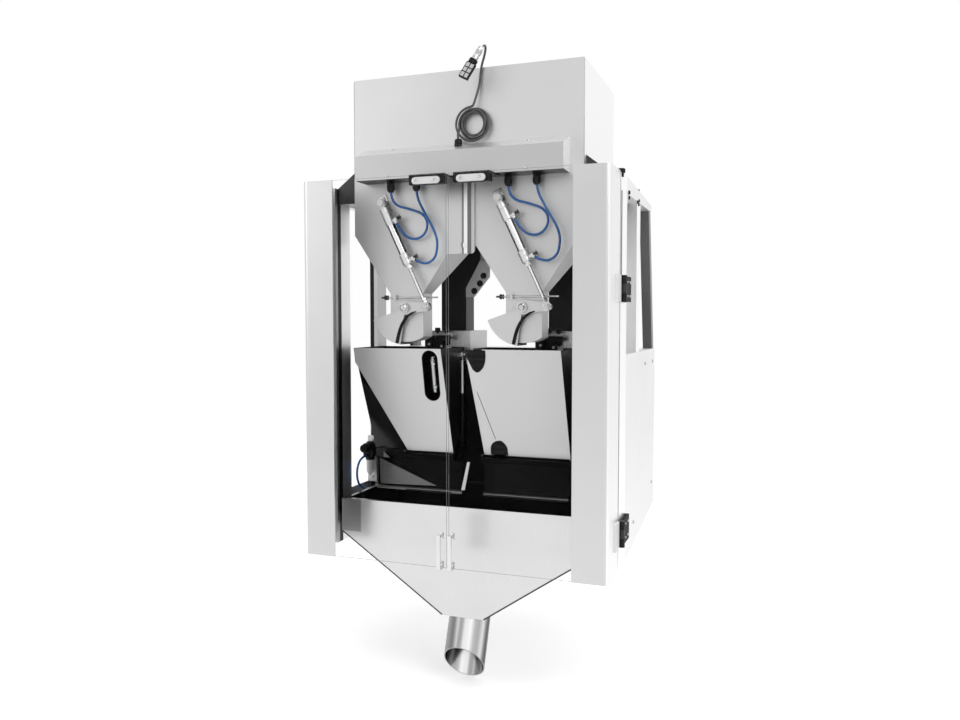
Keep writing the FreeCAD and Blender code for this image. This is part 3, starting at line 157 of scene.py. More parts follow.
def along(material, way, source):
    """How far a surface faces a direction, or lies along it, in its own frame."""
    nodes = material.node_tree.nodes
    coords = nodes.new("ShaderNodeTexCoord")
    dot = nodes.new("ShaderNodeVectorMath")
    dot.operation = "DOT_PRODUCT"
    dot.inputs[1].default_value = way.normalized()
    link(material, coords.outputs[source], dot.inputs[0])
    return dot.outputs["Value"]


def maths(material, operation, first, second):
    """Result of a maths node between two outputs, or an output and a number."""
    node = material.node_tree.nodes.new("ShaderNodeMath")
    node.operation = operation
    link(material, first, node.inputs[0])
    if isinstance(second, float):
        node.inputs[1].default_value = second
    else:
        link(material, second, node.inputs[1])
    return node.outputs["Value"]


def faces(way, over):
    """Test of a surface that faces a direction by more than a share."""
    return "Normal", way, over


def past(way, metres):
    """Test of a surface that lies further along a direction than a distance."""
    return "Object", way, metres


def zoned(material, zones):
    """Lays grey levels over the parts of a sheet that pass their tests, mostly as painted light and shade."""
    socket = material.node_tree.nodes["Principled BSDF"].inputs["Base Color"]
    for tests, level in zones:
        share = None
        for source, way, limit in tests:
            passed = maths(material, "GREATER_THAN", along(material, way, source), limit)
            share = passed if share is None else maths(material, "MULTIPLY", share, passed)
        link(material, mixed(material, share, socket.links[0].from_socket, grey(level)), socket)
    return material


def painted_reflections(name, way, stops, rough, metallic=1.0):
    """Polished round metal, with painted reflections: bands of grey along it, by which way its surface faces, as a
    studio would show in it.
    """
    material = surface(name, grey(0.6), metallic, rough, EVEN, ROUND_SCALE, 0.04, 0.03, 0.01, 0.2)
    nodes = material.node_tree.nodes
    ramp = nodes.new("ShaderNodeValToRGB")
    elements = ramp.color_ramp.elements
    for n, (place, level) in enumerate(stops):
        element = elements[n] if n < 2 else elements.new(place)
        element.position = place
        element.color = (*grey(level), 1)
    half = nodes.new("ShaderNodeMapRange")
    half.inputs["From Min"].default_value = -1.0
    link(material, along(material, way, "Normal"), half.inputs["Value"])
    link(material, half.outputs["Result"], ramp.inputs["Fac"])
    link(material, ramp.outputs["Color"], nodes["Principled BSDF"].inputs["Base Color"])
    return material


def clear(name, level, alpha, rough, shine):
    """Clear or milky plastic."""
    return surface(name, grey(level), 0.0, rough, EVEN, PANE_SCALE, 0.01, 0.01, 0.0, 0.0, Alpha=alpha,
                   Specular_IOR_Level=shine)


def perforated(name):
    """Dark guard with a fine pattern of holes."""
    material = surface(name, grey(0.012), 0.3, 0.5, EVEN, SHEET_SCALE, 0.3, 0.08, 0.05, 0.3,
                       Specular_IOR_Level=0.1)
    nodes = material.node_tree.nodes
    coords = nodes.new("ShaderNodeTexCoord")
    cells = nodes.new("ShaderNodeTexVoronoi")
    cells.inputs["Scale"].default_value = HOLE_SCALE
    cells.inputs["Randomness"].default_value = 0.0
    link(material, coords.outputs["Object"], cells.inputs["Vector"])
    web = spread(material, cells.outputs["Distance"], 0, 1)
    link(material, mixed(material, web, grey(0.001), grey(0.022)), nodes["Principled BSDF"].inputs["Base Color"])
    return material


def sheet_steel(name, level, rough, grain=UPRIGHT, metallic=0.85, **sockets):
    """Brushed sheet."""
    return surface(name, grey(level), metallic, rough, grain, SHEET_SCALE, 0.02, 0.03, 0.006, **sockets)


def plastic(name, level, rough, scale, mottle, bump, shine, edge=0.4):
    """Dark moulded plastic or rubber."""
    return surface(name, grey(level), 0.0, rough, EVEN, scale, mottle, 0.06, bump, edge, Specular_IOR_Level=shine)


# Parts of sheets with painted light and shade: distances in metres from the part's origin
BUCKET_FACE = Vector((0, -0.9783, -0.2070))
FUNNEL_RIGHT_SLOPE, FUNNEL_LEFT_SLOPE = Vector((0.55, 0, -0.83)), Vector((-0.55, 0, -0.83))
BUCKET_FRONT = [faces(BUCKET_FACE, 0.97), past(BUCKET_FACE, 0.3853), past(UP, 0.1845)]
FUNNEL_INSIDE_SHADE = [past(BACK, -0.4965), past(UP, -0.0195)]
FUNNEL_LEFT_SHADE = [past(LEFT, 0.275), past(UP, -0.0195), past(FRONT, 0.4965)]
LEFT_POST = [faces(RIGHT, 0.9), past(LEFT, 0.0)]
RIGHT_POSTS = [past(RIGHT, 0.0), past(FRONT, 0.10)]

M = {
    # Sheets
    # Door stiles: painted light on their right-facing sides.
    "wing": zoned(sheet_steel("wing_steel_painted_light", 0.60, 0.36, metallic=0.9), [([faces(RIGHT, 0.6)], 0.84)]),
    "sheet": sheet_steel("sheet_steel", 0.57, 0.42, metallic=0.75),
    # Supply box and its rim: painted light on both sides, the right side lightest.
    "box": zoned(sheet_steel("box_steel", 0.60, 0.42, metallic=0.9),
                 [([faces(RIGHT, 0.6)], 0.92), ([faces(LEFT, 0.6)], 0.80)]),
    "panel": sheet_steel("panel_steel", 0.84, 0.42, metallic=0.8),
    # Rear cabinet: painted shade, its front faces near black where they show between the buckets.
    "cabinet": zoned(sheet_steel("cabinet_steel_painted_shade", 0.84, 0.42, metallic=0.8), [([faces(FRONT, 0.9)], 0.008)]),
    # Cover strip: bands of painted shade and highlight across it, by X.
    "cover": zoned(sheet_steel("cover_steel_painted_bands", 0.57, 0.34), [
        ([past(RIGHT, -0.003)], 0.20), ([past(RIGHT, 0.002)], 0.86), ([past(RIGHT, 0.011)], 0.16),
        ([past(RIGHT, 0.021)], 0.5)]),
    # Valve box: painted light on its sloped top and both ends, the right end white, and painted shade on its
    # underside.
    "valve": zoned(sheet_steel("valve_box_steel_painted_light", 0.50, 0.34, ACROSS), [
        ([faces(VALVE_SLOPE, 0.95)], 0.84), ([faces(RIGHT, 0.5)], 1.0), ([faces(LEFT, 0.9)], 0.80),
        ([faces(DOWN, 0.9)], 0.02)]),
    # Weigh buckets: near black as painted shade everywhere but the leaning front plate.
    "bucket": zoned(sheet_steel("bucket_steel_painted_shade", 0.005, 0.46, metallic=0.6, Specular_IOR_Level=0.12),
                    [(BUCKET_FRONT, 0.62)]),
    # Collecting funnel: painted shade inside it, on a band at its left front and on its two sloping faces.
    "funnel": zoned(sheet_steel("funnel_steel_painted_shade", 0.66, 0.30), [
        (FUNNEL_INSIDE_SHADE, 0.012), (FUNNEL_LEFT_SHADE, 0.36), ([faces(FUNNEL_RIGHT_SLOPE, 0.86)], 0.30),
        ([faces(FUNNEL_LEFT_SLOPE, 0.86)], 0.12)]),
    # Posts, supports and folded edges
    "frame": surface("frame_steel", grey(0.50), 0.95, 0.30, UPRIGHT, SHEET_SCALE, 0.04, 0.05, 0.01),
    # Posts: painted shade on parts further back and on the left rear post's front, painted light on the right posts'
    # front and right faces, and bands of painted light and shade along the left post's right-facing side.
    "posts": zoned(surface("post_steel_painted_light", grey(0.42), 0.95, 0.32, UPRIGHT, 500.0, 0.05, 0.05, 0.01), [
        ([past(BACK, -0.10)], 0.15), ([faces(FRONT, 0.9), *RIGHT_POSTS], 0.95),
        ([faces(RIGHT, 0.9), *RIGHT_POSTS], 0.95), ([*LEFT_POST, past(FRONT, 0.35)], 0.88),
        ([*LEFT_POST, past(FRONT, 0.457)], 0.01), ([*LEFT_POST, past(FRONT, 0.474)], 0.40),
        ([faces(FRONT, 0.9), past(LEFT, 0.360), past(BACK, -0.27)], 0.015)]),
    "support": surface("support_steel", grey(0.055), 0.95, 0.30, UPRIGHT, 500.0, 0.12, 0.05, 0.01),
    # Near black steel: painted shade, for the discharge doors, the left flap's plate and the left bucket's folded
    # corner.
    "shade_black": surface("painted_shade_black_steel", grey(0.004), 1.0, 0.16, UPRIGHT, 300.0, 0.45, 0.08, 0.03),
    "dim": surface("dim_steel", grey(0.07), 1.0, 0.22, ACROSS, 300.0, 0.35, 0.08, 0.03),
    "grade": surface("gusset_steel", grey(0.13), 0.9, 0.34, EVEN, SHEET_SCALE, 0.02, 0.02, 0.004),
    "polished": surface("polished_steel", grey(0.66), 1.0, 0.12, UPRIGHT, 500.0, 0.06, 0.04, 0.02),
    "machined": surface("machined_steel", grey(0.52), 1.0, 0.22, EVEN, 700.0, 0.08, 0.06, 0.02, 0.3),
    "weld": surface("weld_bead", grey(0.30), 1.0, 0.34, EVEN, 260.0, 0.20, 0.10, 0.5, 0.0),
    # Round metal, with painted reflections
    "spout": painted_reflections("spout_steel", RIGHT, [
        (0.0, 0.02), (0.05, 0.06), (0.12, 0.26), (0.30, 0.20), (0.42, 0.34), (0.52, 0.40), (0.58, 0.80),
        (0.72, 0.92), (0.80, 0.50), (0.88, 0.42), (0.95, 0.62), (1.0, 0.05)], 0.20),
    "barrel": painted_reflections("cylinder_tube", CYLINDER_OUT, [
        (0.0, 0.01), (0.20, 0.015), (0.30, 0.40), (0.50, 0.85), (0.72, 0.75), (0.88, 0.30), (1.0, 0.05)], 0.16),
    "rod": painted_reflections("chromed_rod", CYLINDER_OUT, [
        (0.0, 0.01), (0.18, 0.03), (0.30, 0.70), (0.60, 0.85), (0.80, 0.40), (1.0, 0.03)], 0.10),
    # Upright tubes: near black below 332 mm high, as painted shade between the buckets.
    "upright": zoned(painted_reflections("upright_tube_painted_shade", RIGHT, [
        (0.0, 0.02), (0.18, 0.22), (0.34, 0.50), (0.60, 0.46), (0.78, 0.20), (0.90, 0.04), (1.0, 0.02)], 0.30),
        [([past(DOWN, -0.332)], 0.008)]),
    "alloy": painted_reflections("cast_alloy", CYLINDER_OUT, [
        (0.0, 0.10), (0.15, 0.30), (0.35, 0.68), (0.75, 0.74), (0.92, 0.45), (1.0, 0.22)], 0.36, 0.6),
    # Dark, white and coloured parts
    "leaf": zoned(surface("hinge_leaf", grey(0.006), 0.0, 0.45, EVEN, 1200.0, 0.1, 0.05, 0.03),
                  [([past(FRONT, 0.4955)], 0.82)]),
    "housing": surface("dark_housing", grey(0.006), 0.0, 0.36, UPRIGHT, 500.0, 0.4, 0.08, 0.06,
                       Specular_IOR_Level=0.25),
    "black": plastic("black_plastic", 0.004, 0.42, 1800.0, 0.25, 0.12, 0.22),
    "rubber": plastic("black_rubber", 0.003, 0.62, 1200.0, 0.2, 0.10, 0.15, 0.3),
    "white": surface("white_plastic", grey(0.80), 0.0, 0.35, EVEN, 1500.0, 0.02, 0.05, 0.03, 0.4),
    "hose": surface("blue_hose", (0.003, 0.095, 0.330), 0.0, 0.24, EVEN, 300.0, 0.10, 0.04, 0.01, 0.0,
                    Coat_Weight=0.2),
    "cable": surface("cable_sheath", grey(0.055), 0.0, 0.30, EVEN, SHEET_SCALE, 0.20, 0.05, 0.03, 0.0),
    "mesh": perforated("guard_mesh"),
    # Clear and milky plastic
    "clear": clear("clear_sheet", 0.2, 0.006, 0.05, 0.03),
    "clear_edge": clear("clear_sheet_edge", 0.30, 0.60, 0.10, 0.3),
    "bowl": clear("milky_bowl", 0.85, 0.55, 0.20, 0.4),
}

# Mesh helpers

SHARP = math.radians(32)
BEVEL_SEGMENTS = 2


class Form:
    """Mesh made of turned, extruded and piped parts."""

    def __init__(self):
        self.bm = bmesh.new()

    def ring(self, points):
        return [self.bm.verts.new(p) for p in points]

    def skin(self, rings, closed=False):
        pairs = list(zip(rings, rings[1:])) + ([(rings[-1], rings[0])] if closed else [])
        for a, b in pairs:
            for k in range(len(a)):
                n = (k + 1) % len(a)
                self.bm.faces.new((a[k], a[n], b[n], b[k]))
        if not closed:
            self.bm.faces.new(rings[0])
            self.bm.faces.new(rings[-1])
        return self

    def turned(self, start, way, profile, sides=36, closed=False, ribs=0, depth=0.0):
        """Turned part: rows of distance and radius, with a third entry for a hexagon or for ribs."""
        way = way.normalized()
        side = way.orthogonal().normalized()
        other = way.cross(side)
        rings = []
        for row in profile:
            points = []
            for k in range(sides):
                turn = 2 * math.pi * k / sides
                radius = row[1] * MM
                if len(row) > 2 and row[2] == "hex":
                    radius /= math.cos(turn % (math.pi / 3) - math.pi / 6)
                if len(row) > 2 and row[2] == "rib":
                    radius -= depth * MM * (0.5 + 0.5 * math.cos(ribs * turn))
                points.append(start + way * row[0] * MM + side * math.cos(turn) * radius
                              + other * math.sin(turn) * radius)
            rings.append(self.ring(points))
        return self.skin(rings, closed)

    def slab(self, points, offset):
        """Flat outline extruded by an offset."""
        return self.skin([self.ring(points), self.ring([p + offset for p in points])])

    def block(self, x, depth, z):
        """Box between pairs of X, depth and Z in millimetres."""
        outline = [at(x[0], depth[0], z[0]), at(x[1], depth[0], z[0]), at(x[1], depth[0], z[1]),
                   at(x[0], depth[0], z[1])]
        return self.slab(outline, Vector((0, (depth[1] - depth[0]) * MM, 0)))

    def pipe(self, points, radius, sides=12):
        """Round wire along points."""
        rings = []
        side = None
        for n, point in enumerate(points):
            before = points[max(n - 1, 0)]
            after = points[min(n + 1, len(points) - 1)]
            way = (after - before).normalized()
            side = way.orthogonal() if side is None else side - way * side.dot(way)
            side = side.normalized()
            other = way.cross(side)
            rings.append(self.ring([point + (side * math.cos(2 * math.pi * k / sides)
                                             + other * math.sin(2 * math.pi * k / sides)) * radius * MM
                                    for k in range(sides)]))
        return self.skin(rings)

    def bolt(self, seat, way, size):
        """Washer and hexagon head."""
        across = size * 0.8
        return self.turned(seat, way, [
            (0, size * 1.05), (size * 0.16, size * 1.05), (size * 0.18, size), (size * 0.18, across * 0.9, "hex"),
            (size * 0.22, across, "hex"), (size * 0.66, across, "hex"), (size * 0.76, across * 0.88),
            (size * 0.76, across * 0.3)])

    def button(self, seat, way, size):
        """Domed screw head with a socket."""
        return self.turned(seat, way, [
            (0, size), (size * 0.15, size), (size * 0.42, size * 0.82), (size * 0.55, size * 0.50),
            (size * 0.55, size * 0.32, "hex"), (size * 0.20, size * 0.30, "hex"), (size * 0.2, size * 0.05)], 24)

    def done(self, name, material, body, slot, bevel, nodes=()):
        """Piece on a body, standing for any CAD nodes named."""
        bmesh.ops.recalc_face_normals(self.bm, faces=self.bm.faces)
        mesh = bpy.data.meshes.new(name)
        self.bm.to_mesh(mesh)
        self.bm.free()
        mesh.materials.append(M[material])
        mesh.polygons.foreach_set("use_smooth", [True] * len(mesh.polygons))
        mesh.set_sharp_from_angle(angle=SHARP)
        piece = bpy.data.objects.new(name, mesh)
        bpy.context.scene.collection.objects.link(piece)
        if bevel:
            edges = piece.modifiers.new("edges", "BEVEL")
            edges.width = bevel * MM
            edges.segments = BEVEL_SEGMENTS
            edges.limit_method = "ANGLE"
            edges.angle_limit = SHARP
        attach(piece, body)
        if nodes:
            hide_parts(*nodes)
        return piece


def dress(node, material):
    """CAD node with a better material."""
    mesh = NODES[node].data
    mesh.materials.clear()
    mesh.materials.append(M[material])


# Camera, light and floor

LENS, SENSOR, NEAREST = 31.6125, 36.0, 0.05
CAMERA_PLACE = (0.7278, -2.3765, 0.520)
CAMERA_TILT, CAMERA_TURN = 87.15, 20.0
LIT_POINT = Vector((0.0, -0.3, 0.4))
WHITE = (1, 1, 1, 1)
WORLD_LIGHT, WORLD_SEEN = 0.62, 1.0
FLOOR_REACH, FLOOR_DROP = 30.0, 0.002
FLOOR_GREY, FLOOR_ROUGH, FLOOR_SHINE, FLOOR_GLOW = 0.86, 0.9, 0.1, 0.45


def set_camera():
    """Camera at the place solved from the photograph."""
    data = bpy.data.cameras.new("camera")
    data.lens = LENS
    data.sensor_width = SENSOR
    data.clip_start = NEAREST
    camera = bpy.data.objects.new("camera", data)
    camera.location = CAMERA_PLACE
    camera.rotation_euler = (math.radians(CAMERA_TILT), 0.0, math.radians(CAMERA_TURN))
    bpy.context.scene.collection.objects.link(camera)
    bpy.context.scene.camera = camera
    bpy.context.scene.view_settings.view_transform = "Standard"


def seen_ray(tree):
    """One for rays from the camera, a glossy surface or a clear sheet."""
    path = tree.nodes.new("ShaderNodeLightPath")
    value = path.outputs["Is Camera Ray"]
    for name in ("Is Glossy Ray", "Is Transmission Ray"):
        add = tree.nodes.new("ShaderNodeMath")
        add.operation = "MAXIMUM"
        tree.links.new(value, add.inputs[0])
        tree.links.new(path.outputs[name], add.inputs[1])
        value = add.outputs["Value"]
    return value


def set_world():
    """Soft light that is white where it is seen."""
    world = bpy.data.worlds.new("studio")
    bpy.context.scene.world = world
    world.use_nodes = True
    tree = world.node_tree
    background = tree.nodes["Background"]
    background.inputs["Color"].default_value = WHITE
    strength = tree.nodes.new("ShaderNodeMapRange")
    strength.inputs["To Min"].default_value = WORLD_LIGHT
    strength.inputs["To Max"].default_value = WORLD_SEEN
    tree.links.new(seen_ray(tree), strength.inputs["Value"])
    tree.links.new(strength.outputs["Result"], background.inputs["Strength"])


def set_floor():
    """White ground that takes shadows."""
    mesh = bpy.data.meshes.new("floor")
    level = cad_box[0][2] - FLOOR_DROP
    corners = [(x * FLOOR_REACH, y * FLOOR_REACH, level) for x, y in ((-1, -1), (1, -1), (1, 1), (-1, 1))]
    mesh.from_pydata(corners, [], [(0, 1, 2, 3)])
    floor = bpy.data.objects.new("floor", mesh)
    bpy.context.scene.collection.objects.link(floor)
    material = bpy.data.materials.new("floor")
    material.use_nodes = True
    tree = material.node_tree
    shader = tree.nodes["Principled BSDF"]
    shader.inputs["Base Color"].default_value = (*grey(FLOOR_GREY), 1)
    shader.inputs["Roughness"].default_value = FLOOR_ROUGH
    shader.inputs["Specular IOR Level"].default_value = FLOOR_SHINE
    shader.inputs["Emission Color"].default_value = WHITE
    glow = tree.nodes.new("ShaderNodeMath")
    glow.operation = "MULTIPLY"
    glow.inputs[1].default_value = FLOOR_GLOW
    tree.links.new(seen_ray(tree), glow.inputs[0])
    tree.links.new(glow.outputs["Value"], shader.inputs["Emission Strength"])
    mesh.materials.append(material)


def soft_box(name, place, size, watts):
    """Square light that faces the middle of the part."""
    data = bpy.data.lights.new(name, "AREA")
    data.size = size
    data.energy = watts
    lamp = bpy.data.objects.new(name, data)
    lamp.location = place
    lamp.rotation_euler = (LIT_POINT - Vector(place)).to_track_quat("-Z", "Y").to_euler()
    bpy.context.scene.collection.objects.link(lamp)


set_camera()
set_world()
set_floor()
soft_box("key", (2.6, -2.2, 2.6), 2.0, 42.0)
soft_box("fill", (-2.8, -2.4, 1.6), 2.2, 18.0)
soft_box("top", (0.2, -0.2, 3.4), 2.4, 22.0)

# Cords

PIVOT_X, PIVOT_Z, HOSE_DIA = 150.0, 545.0, 6.0

# Routes of a head's hoses: X from the gate's pivot, depth, and height from the pivot
UPPER_HOSE = [(-16.736, 90, 204.557), (-1, 92, 176), (28, 94, 162.7), (53.7, 96, 173.3), (64.3, 96, 199),
              (53.7, 95, 224.7), (14, 92, 239), (-16, 90, 246), (-32, 90, 267), (-32, 90, 291)]
LOWER_HOSE = [(32.20, 90, 114.911), (55, 88.5, 103.5), (78.4, 86, 110.6), (91.5, 84, 128), (94, 82, 170),
              (60, 84, 225), (36, 89, 267), (36, 90, 291)]

# X of the regulator, and the depths and heights of its hose
REGULATOR_X = -340.0
REGULATOR_HOSE = [(250, 147), (228, 146), (206, 130), (199, 103), (210, 77), (234, 61), (265, 55), (305, 53),
                  (348, 57), (390, 64), (418, 66)]

# The coil's middle, its first and last angle and step in degrees, and the radius and depth of each turn
CABLE_DIA = 5.5
COIL_X, COIL_Z = 29.0, 974.8
COIL_START, COIL_END, COIL_STEP = 199.0, -1352.0, 25.0
COIL_TURNS = [(36.0, 97.0), (28.0, 94.0), (26.5, 103.0), (35.0, 105.6), (42.0, 92.0), (27.0, 90.5)]
SIGNAL_LEAD = [(-6, 90.7, 940), (-9, 92, 952)]
SIGNAL_TAIL = [(33, 93, 1022), (38, 99, 1044), (42, 105.5, 1068), (44, 105.5, 1089), (47, 104.5, 1109),
               (55, 103, 1131), (62, 91.5, 1144), (66, 75, 1146), (63, 61, 1137)]


def cord_curve(name, points, diameter, material, body, nodes):
    """Smooth cord along its route."""
    curve = bpy.data.curves.new(name, "CURVE")
    curve.dimensions = "3D"
    curve.bevel_depth = diameter / 2 * MM
    curve.bevel_resolution = 5
    curve.resolution_u = 10
    curve.use_fill_caps = True
    spline = curve.splines.new("NURBS")
    spline.points.add(len(points) - 1)
    for place, point in zip(spline.points, points):
        place.co = (*point, 1.0)
    spline.order_u = 3
    spline.use_endpoint_u = True
    curve.materials.append(M[material])
    piece = bpy.data.objects.new(name, curve)
    bpy.context.scene.collection.objects.link(piece)
    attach(piece, body)
    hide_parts(*nodes)
    return piece


def coil_points():
    """Loose turns that pass from one place in the bundle to the next."""
    points = []
    angle = COIL_START
    while angle >= COIL_END:
        turns = (COIL_START - angle) / 360.0
        n = int(turns)
        share = turns - n
        share = share * share * (3 - 2 * share)
        radius = COIL_TURNS[n][0] + (COIL_TURNS[n + 1][0] - COIL_TURNS[n][0]) * share
        depth = COIL_TURNS[n][1] + (COIL_TURNS[n + 1][1] - COIL_TURNS[n][1]) * share
        points.append(at(COIL_X + radius * math.cos(math.radians(angle)), depth,
                         COIL_Z + radius * math.sin(math.radians(angle))))
        angle -= COIL_STEP
    return points


for word, side in SIDES.items():
    for level, route, length in (("upper", UPPER_HOSE, 0.25296), ("lower", LOWER_HOSE, 0.237504)):
        points = [at(side * PIVOT_X + x, depth, PIVOT_Z + z) for x, depth, z in route]
        hose = cord_curve(f"{word}_{level}_air_hose", points, HOSE_DIA, "hose", f"{word}_gate_barrel",
                          [f"{word}_{level}_hose"])

points = [at(REGULATOR_X, depth, z) for depth, z in REGULATOR_HOSE]
supply = cord_curve("regulator_air_hose", points, HOSE_DIA, "hose", "frame", ["regulator_hose"])

points = [at(*p) for p in SIGNAL_LEAD] + coil_points() + [at(*p) for p in SIGNAL_TAIL]
cable = cord_curve("signal_cable", points, CABLE_DIA, "cable", "frame",
                   ["signal_lead", "signal_coil", "signal_tail"])

# Connector and terminal block at the cable's end

PLUG_START = at(*SIGNAL_TAIL[-1])
PLUG_WAY = Vector((-0.45, -0.25, -0.86)).normalized()
PLUG_ACROSS = Vector((-PLUG_WAY.z, 0, PLUG_WAY.x)).normalized()
PLUG_FACING = PLUG_WAY.cross(PLUG_ACROSS)
TAG_START = PLUG_START + PLUG_WAY * 44 * MM
TAG_HALF, CONTACT_SEAT, CONTACT_THICK = 4.0, 3.8, 0.7


def on_tag(across, down, out):
    """Point of the terminal block, in millimetres from the middle of its top edge."""
    return TAG_START + PLUG_ACROSS * across * MM + PLUG_WAY * down * MM + PLUG_FACING * out * MM


shell = Form().turned(PLUG_START, PLUG_WAY, [
    (-3, 3.4), (0, 4.4), (1.5, 5.6, "hex"), (8, 5.8, "hex"), (9, 6.6), (10, 7.5), (20, 7.5), (21, 6.9), (23, 6.9),
    (24, 7.5), (33, 7.5), (34, 8.2), (35, 9.0, "rib"), (43.2, 9.0, "rib"), (44, 8.2), (44, 3.0)],
    48, ribs=16, depth=0.7)
connector = shell.done("cable_connector", "machined", "frame", "connector", 0.0, ["signal_connector"])
tag = Form().slab([on_tag(a, b, -TAG_HALF) for a, b in ((-12, 0), (12, 0), (12, 40), (-12, 40))],
                  PLUG_FACING * 2 * TAG_HALF * MM)
terminal = tag.done("cable_terminal_block", "black", "frame", "connector", 0.8)
ring = Form().turned(PLUG_START + PLUG_WAY * 34 * MM, PLUG_WAY, [
    (0, 8.0), (0.6, 9.9), (1.2, 10.2, "rib"), (8.8, 10.2, "rib"), (9.4, 9.9), (10, 8.0)], 60, ribs=20, depth=0.6)
collar = ring.done("connector_ring", "black", "frame", "connector", 0.0)
marks = Form()
for way in (1, -1):
    seat = way * CONTACT_SEAT
    for low, high in ((2.5, 12.5), (15.0, 24.5), (27.0, 37.5)):
        for left, right in ((-9.6, -1.2), (1.2, 9.6)):
            marks.slab([on_tag(left, low, seat), on_tag(right, low, seat), on_tag(right, high, seat),
                        on_tag(left, high, seat)], PLUG_FACING * way * CONTACT_THICK * MM)
contacts = marks.done("terminal_screws", "machined", "frame", "connector", 0.0)

# Cable and hose glands

glands = Form()
for x in (-182, -114, 118, 186):
    glands.turned(at(x, 90, 850), DOWN, [
        (0, 8.8, "hex"), (6, 8.8, "hex"), (6.6, 8.2), (8, 8.2), (8.4, 9.7), (10, 9.8, "rib"), (20, 9.3, "rib"),
        (23, 7.8), (26, 5.4), (26, 3.4), (20, 3.3)], 60, ribs=15, depth=0.8)
glands.turned(at(-6, 90.7, 922), UP, [
    (0, 8.8, "hex"), (6, 8.8, "hex"), (6.6, 8.0), (8, 9.2), (15, 8.8, "rib"), (18, 6.4), (19, 3.4), (15, 3.0)],
    60, ribs=15, depth=0.7)
glands.turned(at(REGULATOR_X, 430, 66), FRONT, [
    (0, 6.2, "hex"), (4, 6.2, "hex"), (4.6, 5.6), (5.5, 6.9), (10, 6.4, "rib"), (12, 4.6), (12, 3.3), (9, 3.1)],
    48, ribs=12, depth=0.6)
glands.done("cable_glands", "black", "frame", "black_plastic", 0.0, ["glands"])

# CAD nodes that stay as they are, with better materials

for node, material in {
    "rear_cabinet": "cabinet", "base_frame": "frame", "frame_posts": "posts", "top_rails": "panel",
    "box_supports": "support", "supply_box": "box", "cover_strip": "cover", "valve_box": "valve",
    "door_catches": "black", "head_fittings": "machined", "load_cells": "housing", "bucket_carriers": "frame",
    "bucket_brackets": "machined", "collecting_funnel": "funnel", "spout": "spout", "door_hinges": "black",
}.items():
    dress(node, material)
# The discharge doors take near black steel as painted shade.
for word in SIDES:
    for node, material in {
        "side_panel": "panel", "feed_hopper": "sheet", "sector_gate": "sheet", "gate_rod": "rod",
        "weigh_bucket": "bucket", "discharge_door": "shade_black", "bucket_cylinder": "upright",
        "bucket_rod": "upright", "door_stile": "wing", "hinge_leaves": "leaf",
    }.items():
        dress(f"{word}_{node}", material)

# Clear doors, pulls and strikes

PANE_FRONT, PANE_REAR = 3.2, 7.8
STRIKE_Z, STRIKE_RADIUS, STRIKE_THICK = 835, 8, 5
for word, side in SIDES.items():
    body = f"{word}_door"
    pane = Form().block((side * 2.5, side * 330), (PANE_FRONT, PANE_REAR), (-58, 847))
    piece = pane.done(f"{word}_clear_door", "clear", body, "clear_sheet", 0.8, [f"{word}_door_pane"])
    piece.data.materials.append(M["clear_edge"])
    for polygon in piece.data.polygons:
        polygon.material_index = 0 if abs(polygon.normal.y) > 0.9 else 1
    pull = Form().block((side * 8.5, side * 18.5), (-21, -16.5), (-56, 25))
    for z in (-57, 17):
        pull.block((side * 8.5, side * 18.5), (-18, 3), (z, z + 3))
    for z in (-57, 11):
        pull.block((side * 8.0, side * 19.0), (1.2, 3), (z, z + 16))
    pull.done(f"{word}_pull", "polished", body, "polished", 0.8, [f"{word}_door_pull"])
    knobs = Form()
    for z in (-45, 19):
        knobs.button(at(side * 13.5, 1.2, z), FRONT, 2.6)
    for x in (32, 78):
        knobs.button(at(side * x, PANE_FRONT, STRIKE_Z), FRONT, 3.2)
    for z in (40, 240, 440, 640, 820):
        knobs.button(at(side * 312, PANE_REAR, z), BACK, 5.0)
    knobs.done(f"{word}_door_screws", "machined", body, "stainless", 0.0)
    outline = []
    for centre, first in ((82, -90), (28, 90)):
        for n in range(9):
            turn = math.radians(first + n * 22.5)
            outline.append(at(side * (centre + STRIKE_RADIUS * math.cos(turn)), 8.0,
                              STRIKE_Z + STRIKE_RADIUS * math.sin(turn)))
    Form().slab(outline, BACK * STRIKE_THICK * MM).done(f"{word}_strike", "white", body, "clear_sheet", 0.8)

# Air regulator

regulator = Form().block((-354, -326), (263, 291), (142, 178))
regulator.turned(at(REGULATOR_X, 263, 168), FRONT, [(0, 9), (3, 9), (3, 7), (6, 7)])
regulator.turned(at(REGULATOR_X, 277, 178), UP, [(0, 10), (3, 10), (5, 8), (5, 3)])
regulator.turned(at(REGULATOR_X, 262, 147), FRONT, [
    (0, 5.4, "hex"), (5, 5.4, "hex"), (6, 4.6), (12, 4.4), (12, 3.3), (8, 3.1)])
regulator.turned(at(REGULATOR_X, 277, 142), DOWN, [(0, 12.5), (8, 12.5, "rib"), (9, 11.6), (9, 3)], 48, ribs=12,
                 depth=0.9)
regulator.done("regulator_body", "black", "frame", "black_plastic", 0.8, ["air_regulator"])
knob = Form().turned(at(REGULATOR_X, 257, 168), FRONT, [
    (0, 11.6), (2, 12.0, "rib"), (13, 11.8, "rib"), (14, 10.6), (15, 10.6), (16, 11.4, "rib"), (19, 11.0, "rib"),
    (20.5, 9.6), (20.5, 7.0), (19.8, 6.4), (19.8, 1.0)], 96, ribs=24, depth=0.9)
knob.done("regulator_knob", "rubber", "frame", "black_plastic", 0.0)
bowl = Form().turned(at(REGULATOR_X, 277, 134), DOWN, [
    (0, 10.6), (26, 10.4), (32, 10.0), (37, 8.2), (40, 5.0), (41, 3.4), (46, 3.2), (46, 1.4), (30, 1.2), (30, 8.2),
    (2, 8.6), (0, 8.6)], 48, closed=True)
bowl.done("regulator_bowl", "bowl", "frame", "clear_sheet", 0.0)
